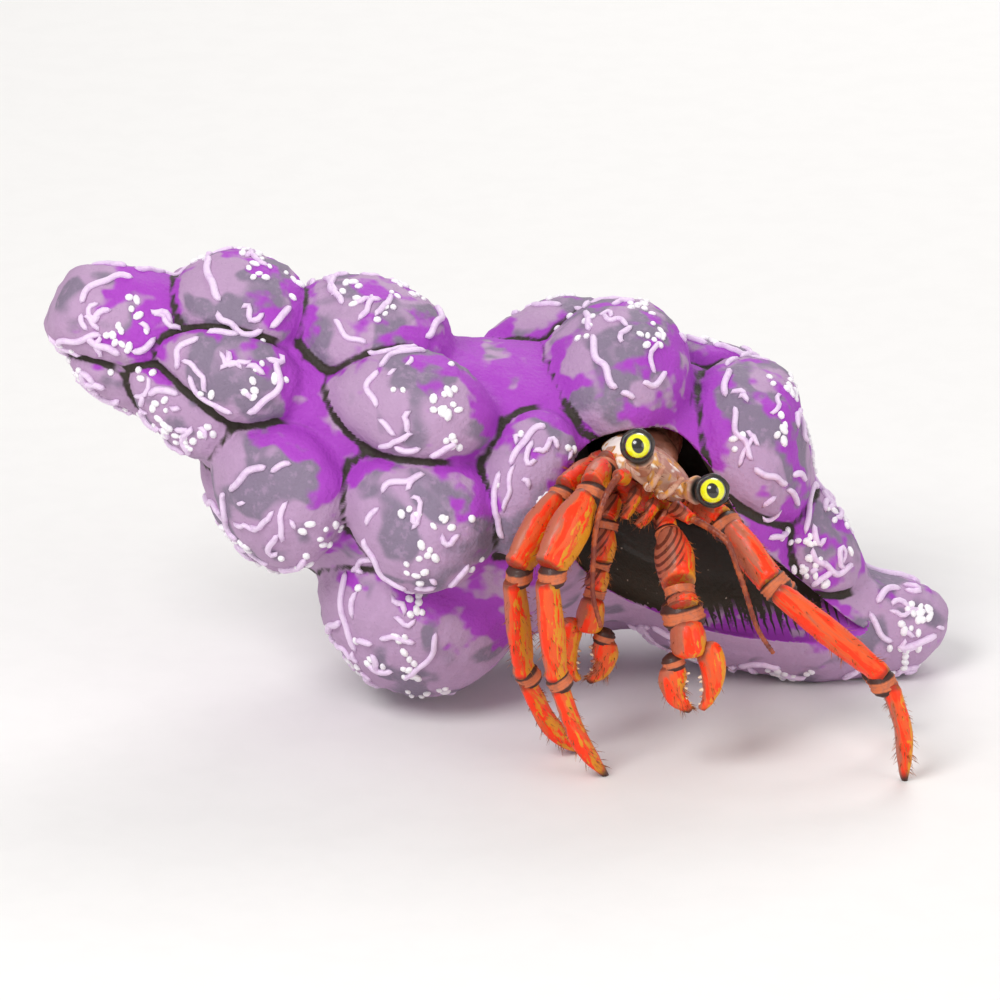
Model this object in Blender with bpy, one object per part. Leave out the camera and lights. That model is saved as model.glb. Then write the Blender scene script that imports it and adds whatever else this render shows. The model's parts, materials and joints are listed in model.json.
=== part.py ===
"""A life-size hermit crab leaning out of a knobbed spindle shell, as a still display model.

The model is in metres, +Z up. The crab faces -Y, the spire of its shell points to -X and
its canal to +X. Lengths in the tables are millimetres, and finish() turns them into metres.
"""

import math

import bmesh
import bpy
import numpy as np
from mathutils import Matrix, Vector

MM = 0.001
GAP = 0.3

# ------------------------------------------------------------------ the shell's dimensions
APEX = Vector((-54.0, -3.5, 48.0))
CANAL_END = Vector((54.8, 4.6, 4.6))
SHELL_LENGTH = (CANAL_END - APEX).length
SHELL_SIDES = 42
SHELL_RINGS = 46
MOUTH_TURN = 19.0  # degrees round from the front that the mouth looks up

# Between the knobs: (along from the apex, radius on the upper side, radius on the under side).
UPPER_SIDE = (
    (0, 0.0), (0.7, 4.2), (2.5, 6.8), (7, 8.2), (12, 9.2), (20, 10.2), (28, 11.2), (38, 12.6),
    (48, 13.4), (60, 16.4), (72, 17.8), (85, 18.4), (94, 10.0), (99, 6.4), (104, 3.6),
    (111, 4.3), (115.5, 3.2), (117.3, 0.0),
)
UNDER_SIDE = (
    (0, 0.0), (0.7, 2.2), (2.5, 3.2), (7, 4.2), (12, 5.0), (18.6, 7.8), (25, 11.2), (33, 15.2),
    (41, 18.6), (52, 21.4), (62, 20.4), (68, 16.0), (74, 11.8), (80, 10.0), (86, 11.6),
    (102, 11.4), (108, 9.4), (114, 6.6), (117.3, 0.0),
)
BACK_SWELL = ((42, 0.0), (64, 2.4), (76, 4.0), (90, 3.2), (106, 0.0))

# The knobs in front: along from the apex, degrees round from the front, half-length along
# the shell, half-width round it, and height.
FRONT_KNOBS = (
    (21.2, 84, 8.2, 12.5, 5.0),
    (21.6, 22, 8.4, 6.6, 5.0),
    (18.0, -24, 7.0, 6.4, 3.6),
    (36.6, 86, 10.2, 13.5, 5.2),
    (42.8, 34, 10.0, 8.4, 7.4),
    (31.6, -30, 8.6, 11.5, 7.0),
    (47.8, -6, 9.6, 9.6, 7.0),
    (53.4, -62, 12.4, 15.0, 7.2),
    (58.4, 20, 5.6, 10.4, 4.2),
    (66.2, 88, 8.8, 17.0, 7.0),
    (86.2, 82, 9.8, 16.0, 4.2),
    (98.0, 60, 6.4, 8.0, 3.0),
)

# Rows of knobs that carry the whorls round the back: the first knob's place and turn, the
# last one's, how many there are, and their half-length, half-width and height.
BACK_ROWS = (
    (11.0, -80, 19.5, -230, 3, 6.6, 6.6, 2.6),
    (32.0, -84, 35.5, -236, 4, 8.0, 8.6, 4.6),
    (56.0, -112, 62.5, -232, 3, 10.6, 11.0, 6.0),
    (75.0, -122, 80.5, -228, 3, 9.0, 9.6, 4.6),
    (94.0, -140, 97.0, -220, 2, 6.4, 6.4, 2.6),
)

# The passage inside the shell, as sections from outside the mouth to its inner end: the
# section's inner edge and outer edge (towards the mouth's front, up its side), its first
# and last place along the shell, and how far the outer lip tucks in.
PASSAGE = (
    ((34.0, -10.0), (34.0, 12.2), 62.0, 108.5, 8.6),
    ((13.0, -9.6), (18.6, 12.2), 62.0, 108.5, 8.6),
    ((5.6, -8.8), (13.6, 12.2), 62.7, 106.0, 8.2),
    ((2.6, -3.6), (9.6, 12.8), 65.0, 100.0, 3.0),
    ((2.4, 2.4), (3.6, 15.4), 66.0, 93.0, 0.0),
    ((0.0, 3.4), (-5.4, 14.0), 66.0, 88.0, 0.0),
    ((-2.8, 1.8), (-12.0, 8.0), 65.5, 84.0, 0.0),
    ((-3.2, -0.8), (-13.0, -2.0), 64.5, 80.0, 0.0),
    ((-3.2, -3.6), (-8.6, -8.6), 64.0, 74.0, 0.0),
)
# Round a section from its canal end, the lip is tucked in up to LIP_FULL, and free from LIP_FREE.
LIP_FULL, LIP_FREE = math.radians(80), math.radians(121)


# ------------------------------------------------------------------ the crab's dimensions
# The crab's own axes: where the middle of its thorax is, the way it faces, and how far it
# is rolled towards its left side.
THORAX = Vector((17.2, -13.4, 31.4))
FACING = Vector((0.10, -0.985, 0.12))
ROLL = 33.0
SHIELD_RADII = (7.3, 5.7, 3.2)
THORAX_RADII = (6.5, 5.3, 4.4)
SHIELD_LEVEL = -0.4

# Its legs and claw arms: the joints from the hip outwards, and the thickness of each
# segment at its start, at its widest and at its end.
LEGS = {
    "leg_right_front": (
        ((13.0, -16.2, 33.7), (12.3, -19.8, 34.5), (10.6, -26.2, 34.0),
         (5.4, -32.4, 25.8), (6.8, -32.2, 12.4), (12.5, -30.5, -0.2)),
        ((1.2, 1.6, 1.5), (1.3, 1.9, 1.7), (1.4, 2.9, 2.0), (1.55, 1.95, 1.5), (1.25, 1.35, 0.45)),
    ),
    "leg_right_rear": (
        ((12.6, -12.4, 32.6), (11.0, -15.8, 33.2), (7.2, -23.8, 32.8),
         (1.6, -29.8, 24.8), (3.0, -27.2, 11.0), (9.7, -23.4, -0.2)),
        ((1.1, 1.5, 1.4), (1.2, 1.7, 1.5), (1.3, 2.5, 1.8), (1.45, 1.8, 1.4), (1.2, 1.3, 0.45)),
    ),
    "leg_left_front": (
        ((20.9, -16.1, 28.4), (23.2, -18.4, 29.0), (26.6, -22.6, 28.8),
         (31.8, -27.8, 22.4), (45.2, -31.6, 12.4), (47.3, -32.0, -0.2)),
        ((1.3, 1.8, 1.6), (1.4, 2.0, 1.8), (1.5, 2.4, 1.9), (1.6, 2.1, 1.5), (1.3, 1.35, 0.45)),
    ),
    "leg_left_rear": (
        ((20.3, -11.8, 27.4), (23.0, -13.4, 26.8), (28.0, -16.6, 24.6),
         (33.2, -21.6, 19.8), (44.6, -22.0, 9.2), (46.8, -17.4, 3.2)),
        ((1.1, 1.5, 1.3), (1.1, 1.6, 1.4), (1.2, 2.0, 1.5), (1.3, 1.6, 1.3), (1.0, 1.1, 0.45)),
    ),
}
ARMS = {
    "cheliped_right": (
        ((13.8, -17.8, 30.2), (12.6, -20.8, 27.6), (12.0, -22.0, 23.0),
         (11.0, -23.4, 20.0), (10.5, -24.0, 15.4)),
        ((1.1, 1.3, 1.2), (1.1, 2.0, 1.6), (1.2, 1.9, 1.9), (1.4, 2.2, 2.3)),
    ),
    "cheliped_left": (
        ((19.0, -18.2, 27.4), (19.8, -22.2, 27.8), (21.0, -28.8, 22.6),
         (21.6, -30.2, 20.0), (22.2, -31.0, 15.0)),
        ((1.3, 1.7, 1.7), (1.5, 3.2, 2.5), (1.5, 2.5, 2.4), (1.8, 2.8, 2.9)),
    ),
}
LEG_SEGMENTS = ("ischium", "merus", "carpus", "propodus", "dactyl")
ARM_SEGMENTS = ("ischium", "merus", "carpus", "palm")
FINGER_LENGTH = {"cheliped_right": 6.0, "cheliped_left": 6.4}
DACTYL_SIDE = {"cheliped_right": 1, "cheliped_left": -1}  # towards the crab's middle
FLATTENED = 0.74  # a limb's depth over its width
BLUNT = 0.35  # the length of a segment's rounded end over its radius
DACTYL_BOW = 1.0

# The head's parts on the crab's left, ahead of the thorax's middle, to its left and above
# it: a path, and the thickness along it. The right side mirrors them.
HEAD_PARTS = {
    "eyestalk": (((7.6, 2.0, 1.0), (9.2, 3.2, 2.0), (10.6, 4.2, 2.9)), (0.95, 1.15, 1.95)),
    "antennule": (((8.0, 0.75, -0.2), (11.2, 1.0, 0.4), (12.2, 1.3, 3.2)), (0.5, 0.42, 0.27)),
    "antenna_base": (((7.4, 3.6, -0.8), (9.4, 4.4, -0.6), (11.2, 5.0, -0.4)), (1.0, 0.9, 0.65)),
    "maxilliped": (((6.6, 1.2, -1.4), (8.2, 1.2, -2.6), (7.6, 0.95, -4.8)), (0.8, 0.8, 0.5)),
}
EYE_RADIUS = 1.6

# The feelers and the small hind legs, each with a path of its own in the same axes.
FEELERS = {
    "antenna_left": (
        (11.6, 5.1, -0.3), (15.0, 8.4, 0.2), (16.0, 13.0, -3.0), (14.0, 18.0, -7.0), (11.0, 22.0, -9.0),
    ),
    "antenna_right": (
        (11.6, -5.1, -0.3), (14.0, -5.6, -3.0), (14.6, -4.0, -8.0), (14.0, -1.0, -13.0), (13.4, 2.4, -16.4),
    ),
}
HIND_LEGS = {
    "hind_leg_left_upper": ((-4.8, 4.8, -1.2), (-6.6, 7.0, -2.2), (-9.4, 7.4, -1.2), (-10.8, 6.2, 0.2)),
    "hind_leg_left_lower": ((-3.6, 4.4, -3.0), (-5.0, 6.8, -4.6), (-7.6, 7.6, -4.8), (-9.4, 6.4, -4.0)),
    "hind_leg_right_upper": ((-4.8, -3.0, -3.8), (-6.0, -3.8, -6.0), (-8.6, -3.6, -6.6), (-10.0, -2.4, -5.8)),
    "hind_leg_right_lower": ((-3.4, -1.6, -4.4), (-4.0, -1.8, -6.8), (-6.6, -1.2, -8.0), (-8.2, -0.2, -7.2)),
}

# The soft hind body inside the shell: (along the shell, towards the mouth's front, up its
# side) for each length of it, and its radii.
HIND_BODY = {
    "carapace_rear": (((72.6, 9.4, 7.0), (73.2, 7.6, 7.6), (73.8, 5.6, 8.6)), (3.4, 3.7, 3.2)),
    "abdomen_front": (((74.0, 5.0, 8.9), (74.4, 1.2, 10.2), (74.2, -2.8, 9.6)), (3.0, 3.6, 3.1)),
    "abdomen_rear": (((74.0, -3.4, 9.2), (73.2, -7.4, 5.6), (72.0, -8.6, 0.6)), (2.9, 3.2, 2.0)),
    "tail_fan": (((71.8, -8.6, 0.2), (71.2, -8.3, -2.0), (70.6, -7.4, -4.0)), (1.6, 2.2, 1.4)),
}


# ------------------------------------------------------------------ curves and meshes
def rise(x, low, high):
    """0 below low, 1 above high, and a smooth rise between."""
    share = min(max((x - low) / (high - low), 0.0), 1.0)
    return share * share * (3 - 2 * share)


def smooth_between(x, stations):
    """A monotone cubic curve through (x, y) stations, read at every x."""
    xs, ys = (np.array(column, float) for column in zip(*stations))
    step = np.diff(xs)
    slope = np.diff(ys) / step
    tangent = np.zeros(len(xs))
    rising = slope[:-1] * slope[1:] > 0
    before = np.where(rising, slope[:-1], 1)
    after = np.where(rising, slope[1:], 1)
    tangent[1:-1] = np.where(rising, 2 / (1 / before + 1 / after), 0)
    tangent[0], tangent[-1] = slope[0], slope[-1]
    i = np.clip(np.searchsorted(xs, x) - 1, 0, len(step) - 1)
    t = np.clip((x - xs[i]) / step[i], 0, 1)
    return (
        (1 + 2 * t) * (1 - t) ** 2 * ys[i]
        + t * (1 - t) ** 2 * step[i] * tangent[i]
        + t * t * (3 - 2 * t) * ys[i + 1]
        - t * t * (1 - t) * step[i] * tangent[i + 1]
    )


def paint(name, colour, roughness):
    material = bpy.data.materials.new(name)
    material.use_nodes = True
    surface = material.node_tree.nodes["Principled BSDF"]
    surface.inputs["Base Color"].default_value = (*colour, 1)
    surface.inputs["Roughness"].default_value = roughness
    surface.inputs["Metallic"].default_value = 0.0
    return material


def finish(name, bm, material):
    """Turns a bmesh in millimetres into an object in metres."""
    bm.transform(Matrix.Scale(MM, 4))
    mesh = bpy.data.meshes.new(name)
    bm.to_mesh(mesh)
    bm.free()
    if material:
        mesh.materials.append(material)
    obj = bpy.data.objects.new(name, mesh)
    bpy.context.scene.collection.objects.link(obj)
    mesh.shade_smooth()
    return obj


def cutter(name, bm):
    obj = finish(name, bm, None)
    obj.hide_render = True
    obj.display_type = "WIRE"
    return obj


def boolean(obj, other, operation="DIFFERENCE"):
    modifier = obj.modifiers.new(f"{operation.lower()}_{other.name}", "BOOLEAN")
    modifier.operation = operation
    modifier.solver = "EXACT"
    modifier.object = other


# ------------------------------------------------------------------ shell
def all_knobs():
    knobs = list(FRONT_KNOBS)
    for place, turn, last_place, last_turn, count, *size in BACK_ROWS:
        for share in np.linspace(0, 1, count):
            knobs.append((place + share * (last_place - place), turn + share * (last_turn - turn), *size))
    return knobs


def shell_base(along, angle):
    upper = smooth_between(along, UPPER_SIDE)
    under = smooth_between(along, UNDER_SIDE)
    turn = angle - math.radians(MOUTH_TURN)
    back = smooth_between(along, BACK_SWELL) * (1 - np.cos(turn)) / 2
    return (upper + under) / 2 + (upper - under) / 2 * np.sin(turn) + back


def shell_radius(along, angle):
    """The shell's radius at a place along it and an angle in radians round from its front."""
    raised = np.zeros_like(along)
    for place, degrees, half_length, half_width, height in all_knobs():
        centre = math.radians(degrees)
        turn = np.angle(np.exp(1j * (angle - centre)))
        girth = shell_base(np.array(float(place)), np.array(centre)) + height / 2
        reach = ((along - place) / half_length) ** 2 + (turn * girth / half_width) ** 2
        raised = np.maximum(raised, height * np.clip(1 - reach, 0, None) ** 0.6)
    ends = np.clip(np.minimum(along, SHELL_LENGTH - along) / 2.5, 0, 1)
    return shell_base(along, angle) + raised * np.sqrt(ends)


def shell_frame(turn_degrees=0.0):
    """The shell's axes: X to its front, turned up by the given angle, Y up its side, Z to its apex."""
    apexward = (APEX - CANAL_END).normalized()
    front = Vector((0, -1, 0))
    front = (front - front.dot(apexward) * apexward).normalized()
    side = apexward.cross(front)
    if side.z < 0:
        side = -side
    turn = math.radians(turn_degrees)
    outward = front * math.cos(turn) + side * math.sin(turn)
    upward = side * math.cos(turn) - front * math.sin(turn)
    axes = Matrix((outward, upward, outward.cross(upward))).transposed().to_4x4()
    return Matrix.Translation(APEX) @ axes


def apex_sign():
    """+1 where the frame's Z runs towards the apex, -1 where it runs towards the canal."""
    apexward = (APEX - CANAL_END).normalized()
    return 1 if shell_frame().col[2].to_3d().dot(apexward) > 0 else -1


def make_shell_form():
    bm = bmesh.new()
    bmesh.ops.create_uvsphere(bm, u_segments=SHELL_SIDES, v_segments=SHELL_RINGS, radius=1)
    points = np.array([v.co for v in bm.verts])
    sign = apex_sign()
    share = np.arccos(np.clip(points[:, 2] * sign, -1, 1)) / math.pi
    along = SHELL_LENGTH * (0.8 * share + 0.2 * (1 - np.cos(share * math.pi)) / 2)
    angle = np.arctan2(points[:, 1], points[:, 0])
    radius = shell_radius(along, angle)
    for vert, r, a, s in zip(bm.verts, radius, angle, along):
        vert.co = (r * math.cos(a), r * math.sin(a), -sign * s)
    bm.transform(shell_frame())
    for vert in bm.verts:
        vert.co.z = max(vert.co.z, 0.0)
    return bm


def passage_section(inner, outer, first, last, tuck, sides=20):
    """A teardrop section, wide towards the spire and drawn out towards the canal.

    The shell's outer lip tucks its upper edge in by up to the given length, near the canal.
    """
    inner, outer = Vector(inner), Vector(outer)
    across = (outer - inner) / 2
    centre = (outer + inner) / 2
    tail_drop = 0.42 * across.length
    ring = []
    for k in range(sides):
        turn = 2 * math.pi * k / sides
        along = (first + last) / 2 + (last - first) / 2 * math.cos(turn)
        width = math.sin(turn) * (0.35 + 0.86 * math.sin(turn / 2))
        drop = tail_drop * ((along - first) / (last - first)) ** 2
        drop += tuck * max(math.sin(turn), 0.0) * (1 - rise(turn, LIP_FULL, LIP_FREE))
        place = centre + across * width - across.normalized() * drop
        ring.append((place.x, place.y, -apex_sign() * along))
    return ring


def make_passage_cutter():
    bm = bmesh.new()
    rings = [[bm.verts.new(p) for p in passage_section(*section)] for section in PASSAGE]
    for one, next_one in zip(rings, rings[1:]):
        for k in range(len(one)):
            n = (k + 1) % len(one)
            bm.faces.new((one[k], one[n], next_one[n], next_one[k]))
    bm.faces.new(rings[0])
    bm.faces.new(rings[-1])
    bmesh.ops.recalc_face_normals(bm, faces=bm.faces)
    bm.transform(shell_frame(MOUTH_TURN))
    return cutter("passage_cutter", bm)


def make_shell(material):
    shell = finish("shell", make_shell_form(), material)
    boolean(shell, make_passage_cutter())
    return shell


# ------------------------------------------------------------------ swept forms
def ring_places(rings, length, start_end, far_end):
    """Distances of a sweep's rings from its start: a pole, two rings that round the end, the rest even."""
    start_end, far_end = min(start_end, length * 0.3), min(far_end, length * 0.3)
    middle = np.linspace(start_end, length - far_end, rings - 3)
    return [0.0, start_end * 0.3, *middle, length - far_end * 0.3, length]


def path_point(points, share):
    """A point and its direction at a share of the way along a smooth curve through the points."""
    points = [Vector(p) for p in points]
    spans = [0.0]
    for one, other in zip(points, points[1:]):
        spans.append(spans[-1] + (other - one).length)
    columns = [[(span, p[axis]) for span, p in zip(spans, points)] for axis in range(3)]
    step = spans[-1] * 0.02
    place = min(max(share * spans[-1], 0.0), spans[-1])

    def at(x):
        return Vector([float(smooth_between(np.array(x), column)) for column in columns])

    low, high = max(place - step, 0.0), min(place + step, spans[-1])
    return at(place), (at(high) - at(low)).normalized()


def path_length(points):
    return sum((Vector(b) - Vector(a)).length for a, b in zip(points, points[1:]))


def sweep(points, radii, across=(1, 0, 0), flattened=1.0, sides=8, rings=8, blunt=1.0):
    """A form along a path: its radii are spread evenly, its width lies along across, and its
    ends are round, or flatter where blunt is under 1."""
    length = path_length(points)
    places = ring_places(rings, length, radii[0] * blunt, radii[-1] * blunt)
    stations = list(zip(np.linspace(0, length, len(radii)), radii))
    bm = bmesh.new()
    bmesh.ops.create_uvsphere(bm, u_segments=sides, v_segments=rings, radius=1)
    for vert in bm.verts:
        ring = round(math.acos(max(-1.0, min(1.0, vert.co.z))) / math.pi * rings)
        girth = math.hypot(vert.co.x, vert.co.y)
        x, y = (vert.co.x / girth, vert.co.y / girth) if girth > 1e-6 else (0.0, 0.0)
        radius = float(smooth_between(np.array(places[ring]), stations))
        radius *= {0: 0.0, 1: 0.75}.get(min(ring, rings - ring), 1.0)
        centre, toward = path_point(points, places[ring] / length)
        wide = (Vector(across) - Vector(across).dot(toward) * toward).normalized()
        vert.co = centre + wide * (x * radius) + wide.cross(toward) * (y * radius * flattened)
    return bm


# ------------------------------------------------------------------ legs and claws
def setback(radius, other_radius, bend):
    """How far from a joint a blunt end stops, so that it clears the next segment's end."""
    lean = 0.8 * min(radius, other_radius) * FLATTENED * math.tan(min(bend, 2.0) / 2)
    return GAP * 0.6 + lean


def bend_normal(joints):
    """The direction square to the plane in which a limb bends."""
    first, middle, last = joints[0], joints[len(joints) // 2], joints[-1]
    return (middle - first).cross(last - middle).normalized()


def limb_ends(joints, sizes):
    """The start and end of each segment, drawn back from the joints to leave the gaps."""
    ends = []
    for k, radii in enumerate(sizes):
        start, end = joints[k].copy(), joints[k + 1].copy()
        toward = (end - start).normalized()
        if k > 0:
            before = (joints[k] - joints[k - 1]).normalized()
            start += toward * setback(radii[0], sizes[k - 1][2], before.angle(toward))
        if k + 1 < len(joints) - 1 and k + 1 < len(sizes):
            after = (joints[k + 2] - joints[k + 1]).normalized()
            end -= toward * setback(radii[2], sizes[k + 1][0], toward.angle(after))
        ends.append((start, end))
    return ends


def outward(start, end):
    """The direction square to a segment that leads away from the crab's body."""
    toward = (end - start).normalized()
    away = (start + end) / 2 - THORAX
    return (away - away.dot(toward) * toward).normalized()


def make_limb(name, joints, sizes, segments, material, seat):
    joints = [Vector(p) for p in joints]
    normal = bend_normal(joints)
    made = {}
    for segment, radii, (start, end) in zip(segments, sizes, limb_ends(joints, sizes)):
        path = (start, end)
        if segment == "dactyl":
            path = (start, (start + end) / 2 + outward(start, end) * DACTYL_BOW, end)
        small, large, last = radii
        profile = (small, small + 0.7 * (large - small), large, large - 0.3 * (large - last), last)
        bm = sweep(path, profile, across=normal.cross(end - start), flattened=FLATTENED, blunt=BLUNT)
        for vert in bm.verts:
            vert.co.z = max(vert.co.z, 0.0)
        made[segment] = finish(f"{name}_{segment}", bm, material)
    boolean(made[segments[0]], seat)
    return made


def finger(base, toward, across, side, length, radius):
    """A hooked finger, bowed out from the claw's middle line and turned in at its tip."""
    route = ((0.0, 1.15), (0.45, 1.55), (0.8, 1.1), (1.0, 0.35))
    points = [base + toward * (length * share) + across * (side * radius * out) for share, out in route]
    return sweep(points, (radius, radius * 0.95, radius * 0.66, radius * 0.25), across=across, flattened=0.85)


def make_claw(name, joints, palm, material):
    start, end = Vector(joints[-2]), Vector(joints[-1])
    toward = (end - start).normalized()
    across = (Vector((1, 0, 0)) - Vector((1, 0, 0)).dot(toward) * toward).normalized()
    length, side = FINGER_LENGTH[name], DACTYL_SIDE[name]
    radius = length * 0.25
    fixed = finger(end - toward * radius, toward, across, -side, length + radius, radius)
    boolean(palm, cutter(f"{name}_fixed_form", fixed), "UNION")
    moving = finger(end + toward * GAP, toward, across, side, length - GAP, radius)
    finish(f"{name}_dactyl", moving, material)


# ------------------------------------------------------------------ head and body
def crab_frame():
    """The crab's axes: X ahead, Y to its left, Z up through its back, from the thorax's middle."""
    ahead = FACING.normalized()
    left = Vector((0, 0, 1)).cross(ahead).normalized()
    up = ahead.cross(left)
    roll = math.radians(ROLL)
    left, up = left * math.cos(roll) - up * math.sin(roll), up * math.cos(roll) + left * math.sin(roll)
    return Matrix.Translation(THORAX) @ Matrix((ahead, left, up)).transposed().to_4x4()


def in_crab(point, mirrored=False):
    ahead, left, up = point
    return crab_frame() @ Vector((ahead, -left if mirrored else left, up))


def in_mouth(point):
    along, ahead, up = point
    return shell_frame(MOUTH_TURN) @ Vector((ahead, up, -apex_sign() * along))


def ovoid(radii):
    """An ovoid about the thorax's middle, a little squared, with its pole pointing ahead."""
    bm = bmesh.new()
    bmesh.ops.create_uvsphere(bm, u_segments=14, v_segments=9, radius=1)
    bmesh.ops.rotate(bm, cent=(0, 0, 0), matrix=Matrix.Rotation(math.pi / 2, 3, "Y"), verts=bm.verts)
    for vert in bm.verts:
        vert.co = Vector([math.copysign(abs(c) ** 0.85, c) * r for c, r in zip(vert.co, radii)])
    return bm


def cut_at(bm, level, keep_above):
    """Cuts an ovoid flat at a level, keeps its upper or its lower part, and puts it in place."""
    cut = bmesh.ops.bisect_plane(
        bm, geom=bm.verts[:] + bm.edges[:] + bm.faces[:], plane_co=(0, 0, level), plane_no=(0, 0, 1),
        clear_inner=keep_above, clear_outer=not keep_above,
    )
    edges = [item for item in cut["geom_cut"] if isinstance(item, bmesh.types.BMEdge)]
    bmesh.ops.holes_fill(bm, edges=edges)
    bmesh.ops.recalc_face_normals(bm, faces=bm.faces)
    bm.transform(crab_frame())
    return bm


def make_thorax(orange, face):
    finish("carapace_shield", cut_at(ovoid(SHIELD_RADII), SHIELD_LEVEL, True), face)
    finish("thorax", cut_at(ovoid(THORAX_RADII), SHIELD_LEVEL - GAP, False), orange)


def make_seat():
    """The room that the thorax and shield take up, with the gap, which the limbs' bases are cut to."""
    radii = [max(pair) + GAP * 1.3 for pair in zip(SHIELD_RADII, THORAX_RADII)]
    bm = ovoid(radii)
    bmesh.ops.recalc_face_normals(bm, faces=bm.faces)
    bm.transform(crab_frame())
    return cutter("seat_cutter", bm)


def make_head(orange, face, eye, seat):
    paints = {"eyestalk": face, "antennule": face, "antenna_base": orange, "maxilliped": orange}
    for mirrored, side in ((False, "left"), (True, "right")):
        for name, (path, radii) in HEAD_PARTS.items():
            points = [in_crab(p, mirrored) for p in path]
            bm = sweep(points, radii, sides=8, rings=7, blunt=BLUNT)
            boolean(finish(f"{name}_{side}", bm, paints[name]), seat)
        bm = bmesh.new()
        bmesh.ops.create_uvsphere(bm, u_segments=12, v_segments=8, radius=EYE_RADIUS)
        stalk = [in_crab(p, mirrored) for p in HEAD_PARTS["eyestalk"][0]]
        centre = stalk[-1] + (stalk[-1] - stalk[-2]).normalized() * (EYE_RADIUS + GAP)
        bmesh.ops.translate(bm, vec=centre, verts=bm.verts)
        finish(f"eye_{side}", bm, eye)


def make_feelers_and_hind_legs(orange, soft):
    for name, path in FEELERS.items():
        finish(name, sweep([in_crab(p) for p in path], (0.42, 0.32, 0.27), sides=5, rings=12), orange)
    for name, path in HIND_LEGS.items():
        finish(name, sweep([in_crab(p) for p in path], (0.8, 0.9, 0.75, 0.5), sides=6, rings=8), soft)


def make_hind_body(soft):
    along = in_mouth((1, 0, 0)) - in_mouth((0, 0, 0))
    for name, (path, radii) in HIND_BODY.items():
        bm = sweep([in_mouth(p) for p in path], radii, across=along, flattened=0.9, sides=10, rings=7)
        finish(name, bm, soft)


def clear_scene():
    for obj in list(bpy.data.objects):
        bpy.data.objects.remove(obj)


def stand_on_origin():
    """Moves everything so that the origin is under the middle of the model, on the floor."""
    solids = [obj for obj in bpy.data.objects if not obj.hide_render]
    depsgraph = bpy.context.evaluated_depsgraph_get()
    corners = np.array([c for obj in solids for c in obj.evaluated_get(depsgraph).bound_box])
    low, high = corners.min(0), corners.max(0)
    for obj in bpy.data.objects:
        obj.location = (-(low[0] + high[0]) / 2, -(low[1] + high[1]) / 2, -low[2])


def main():
    clear_scene()
    crust = paint("purple_crust", (0.45, 0.30, 0.47), 0.5)
    orange = paint("orange_red_shell", (0.90, 0.12, 0.01), 0.35)
    face = paint("tan_shield", (0.42, 0.20, 0.10), 0.4)
    eye = paint("yellow_eye", (0.95, 0.85, 0.05), 0.1)
    soft = paint("pinkish_soft_skin", (0.75, 0.38, 0.30), 0.45)
    make_shell(crust)
    make_thorax(orange, face)
    seat = make_seat()
    make_head(orange, face, eye, seat)
    for name, (joints, sizes) in LEGS.items():
        make_limb(name, joints, sizes, LEG_SEGMENTS, orange, seat)
    for name, (joints, sizes) in ARMS.items():
        made = make_limb(name, joints, sizes, ARM_SEGMENTS, orange, seat)
        make_claw(name, joints, made["palm"], orange)
    make_feelers_and_hind_legs(orange, soft)
    make_hind_body(soft)
    stand_on_origin()


main()
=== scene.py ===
"""The looks of a life-size hermit crab that leans out of a knobbed spindle shell.

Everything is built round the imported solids, in metres: +Z is up, the crab faces -Y, and the
shell's spire points to -X. The shell's tables are in millimetres, as in the part's source.
"""

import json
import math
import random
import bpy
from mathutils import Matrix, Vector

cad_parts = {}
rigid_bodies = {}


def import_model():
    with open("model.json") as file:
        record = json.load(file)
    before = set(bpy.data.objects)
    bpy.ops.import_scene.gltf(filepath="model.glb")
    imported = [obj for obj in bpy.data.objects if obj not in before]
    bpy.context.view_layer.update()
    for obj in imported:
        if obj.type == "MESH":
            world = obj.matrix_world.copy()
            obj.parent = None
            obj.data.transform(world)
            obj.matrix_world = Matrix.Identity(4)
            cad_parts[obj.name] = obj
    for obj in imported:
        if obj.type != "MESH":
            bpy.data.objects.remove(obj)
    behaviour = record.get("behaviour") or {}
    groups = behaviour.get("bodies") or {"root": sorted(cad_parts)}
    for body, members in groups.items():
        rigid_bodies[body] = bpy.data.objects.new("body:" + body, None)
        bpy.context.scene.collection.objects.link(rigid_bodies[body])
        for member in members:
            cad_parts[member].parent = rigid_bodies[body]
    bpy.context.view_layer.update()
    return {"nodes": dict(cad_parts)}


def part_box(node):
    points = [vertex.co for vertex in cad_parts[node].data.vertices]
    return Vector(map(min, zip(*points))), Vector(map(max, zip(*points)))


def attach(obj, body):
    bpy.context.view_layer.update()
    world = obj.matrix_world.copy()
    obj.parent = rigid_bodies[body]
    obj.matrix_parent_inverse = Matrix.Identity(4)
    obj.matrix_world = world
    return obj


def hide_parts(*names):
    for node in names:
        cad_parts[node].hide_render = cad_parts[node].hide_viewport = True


bl_info = {
    "name": "Hermit crab in a knobbed shell",
    "version": (1, 0, 0),
    "blender": (4, 5, 0),
    "location": "3D View > Sidebar > Hermit crab",
    "description": "Builds the shell, its crust, the crab's plates, eyes, bristles and the stage",
    "category": "Add Mesh",
}

import bmesh
import bpy
import numpy as np
from bpy.props import FloatProperty, FloatVectorProperty, IntProperty, PointerProperty
from mathutils import Matrix, Vector, noise
from mathutils.bvhtree import BVHTree
from mathutils.kdtree import KDTree

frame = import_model()
MM = 0.001

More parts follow.
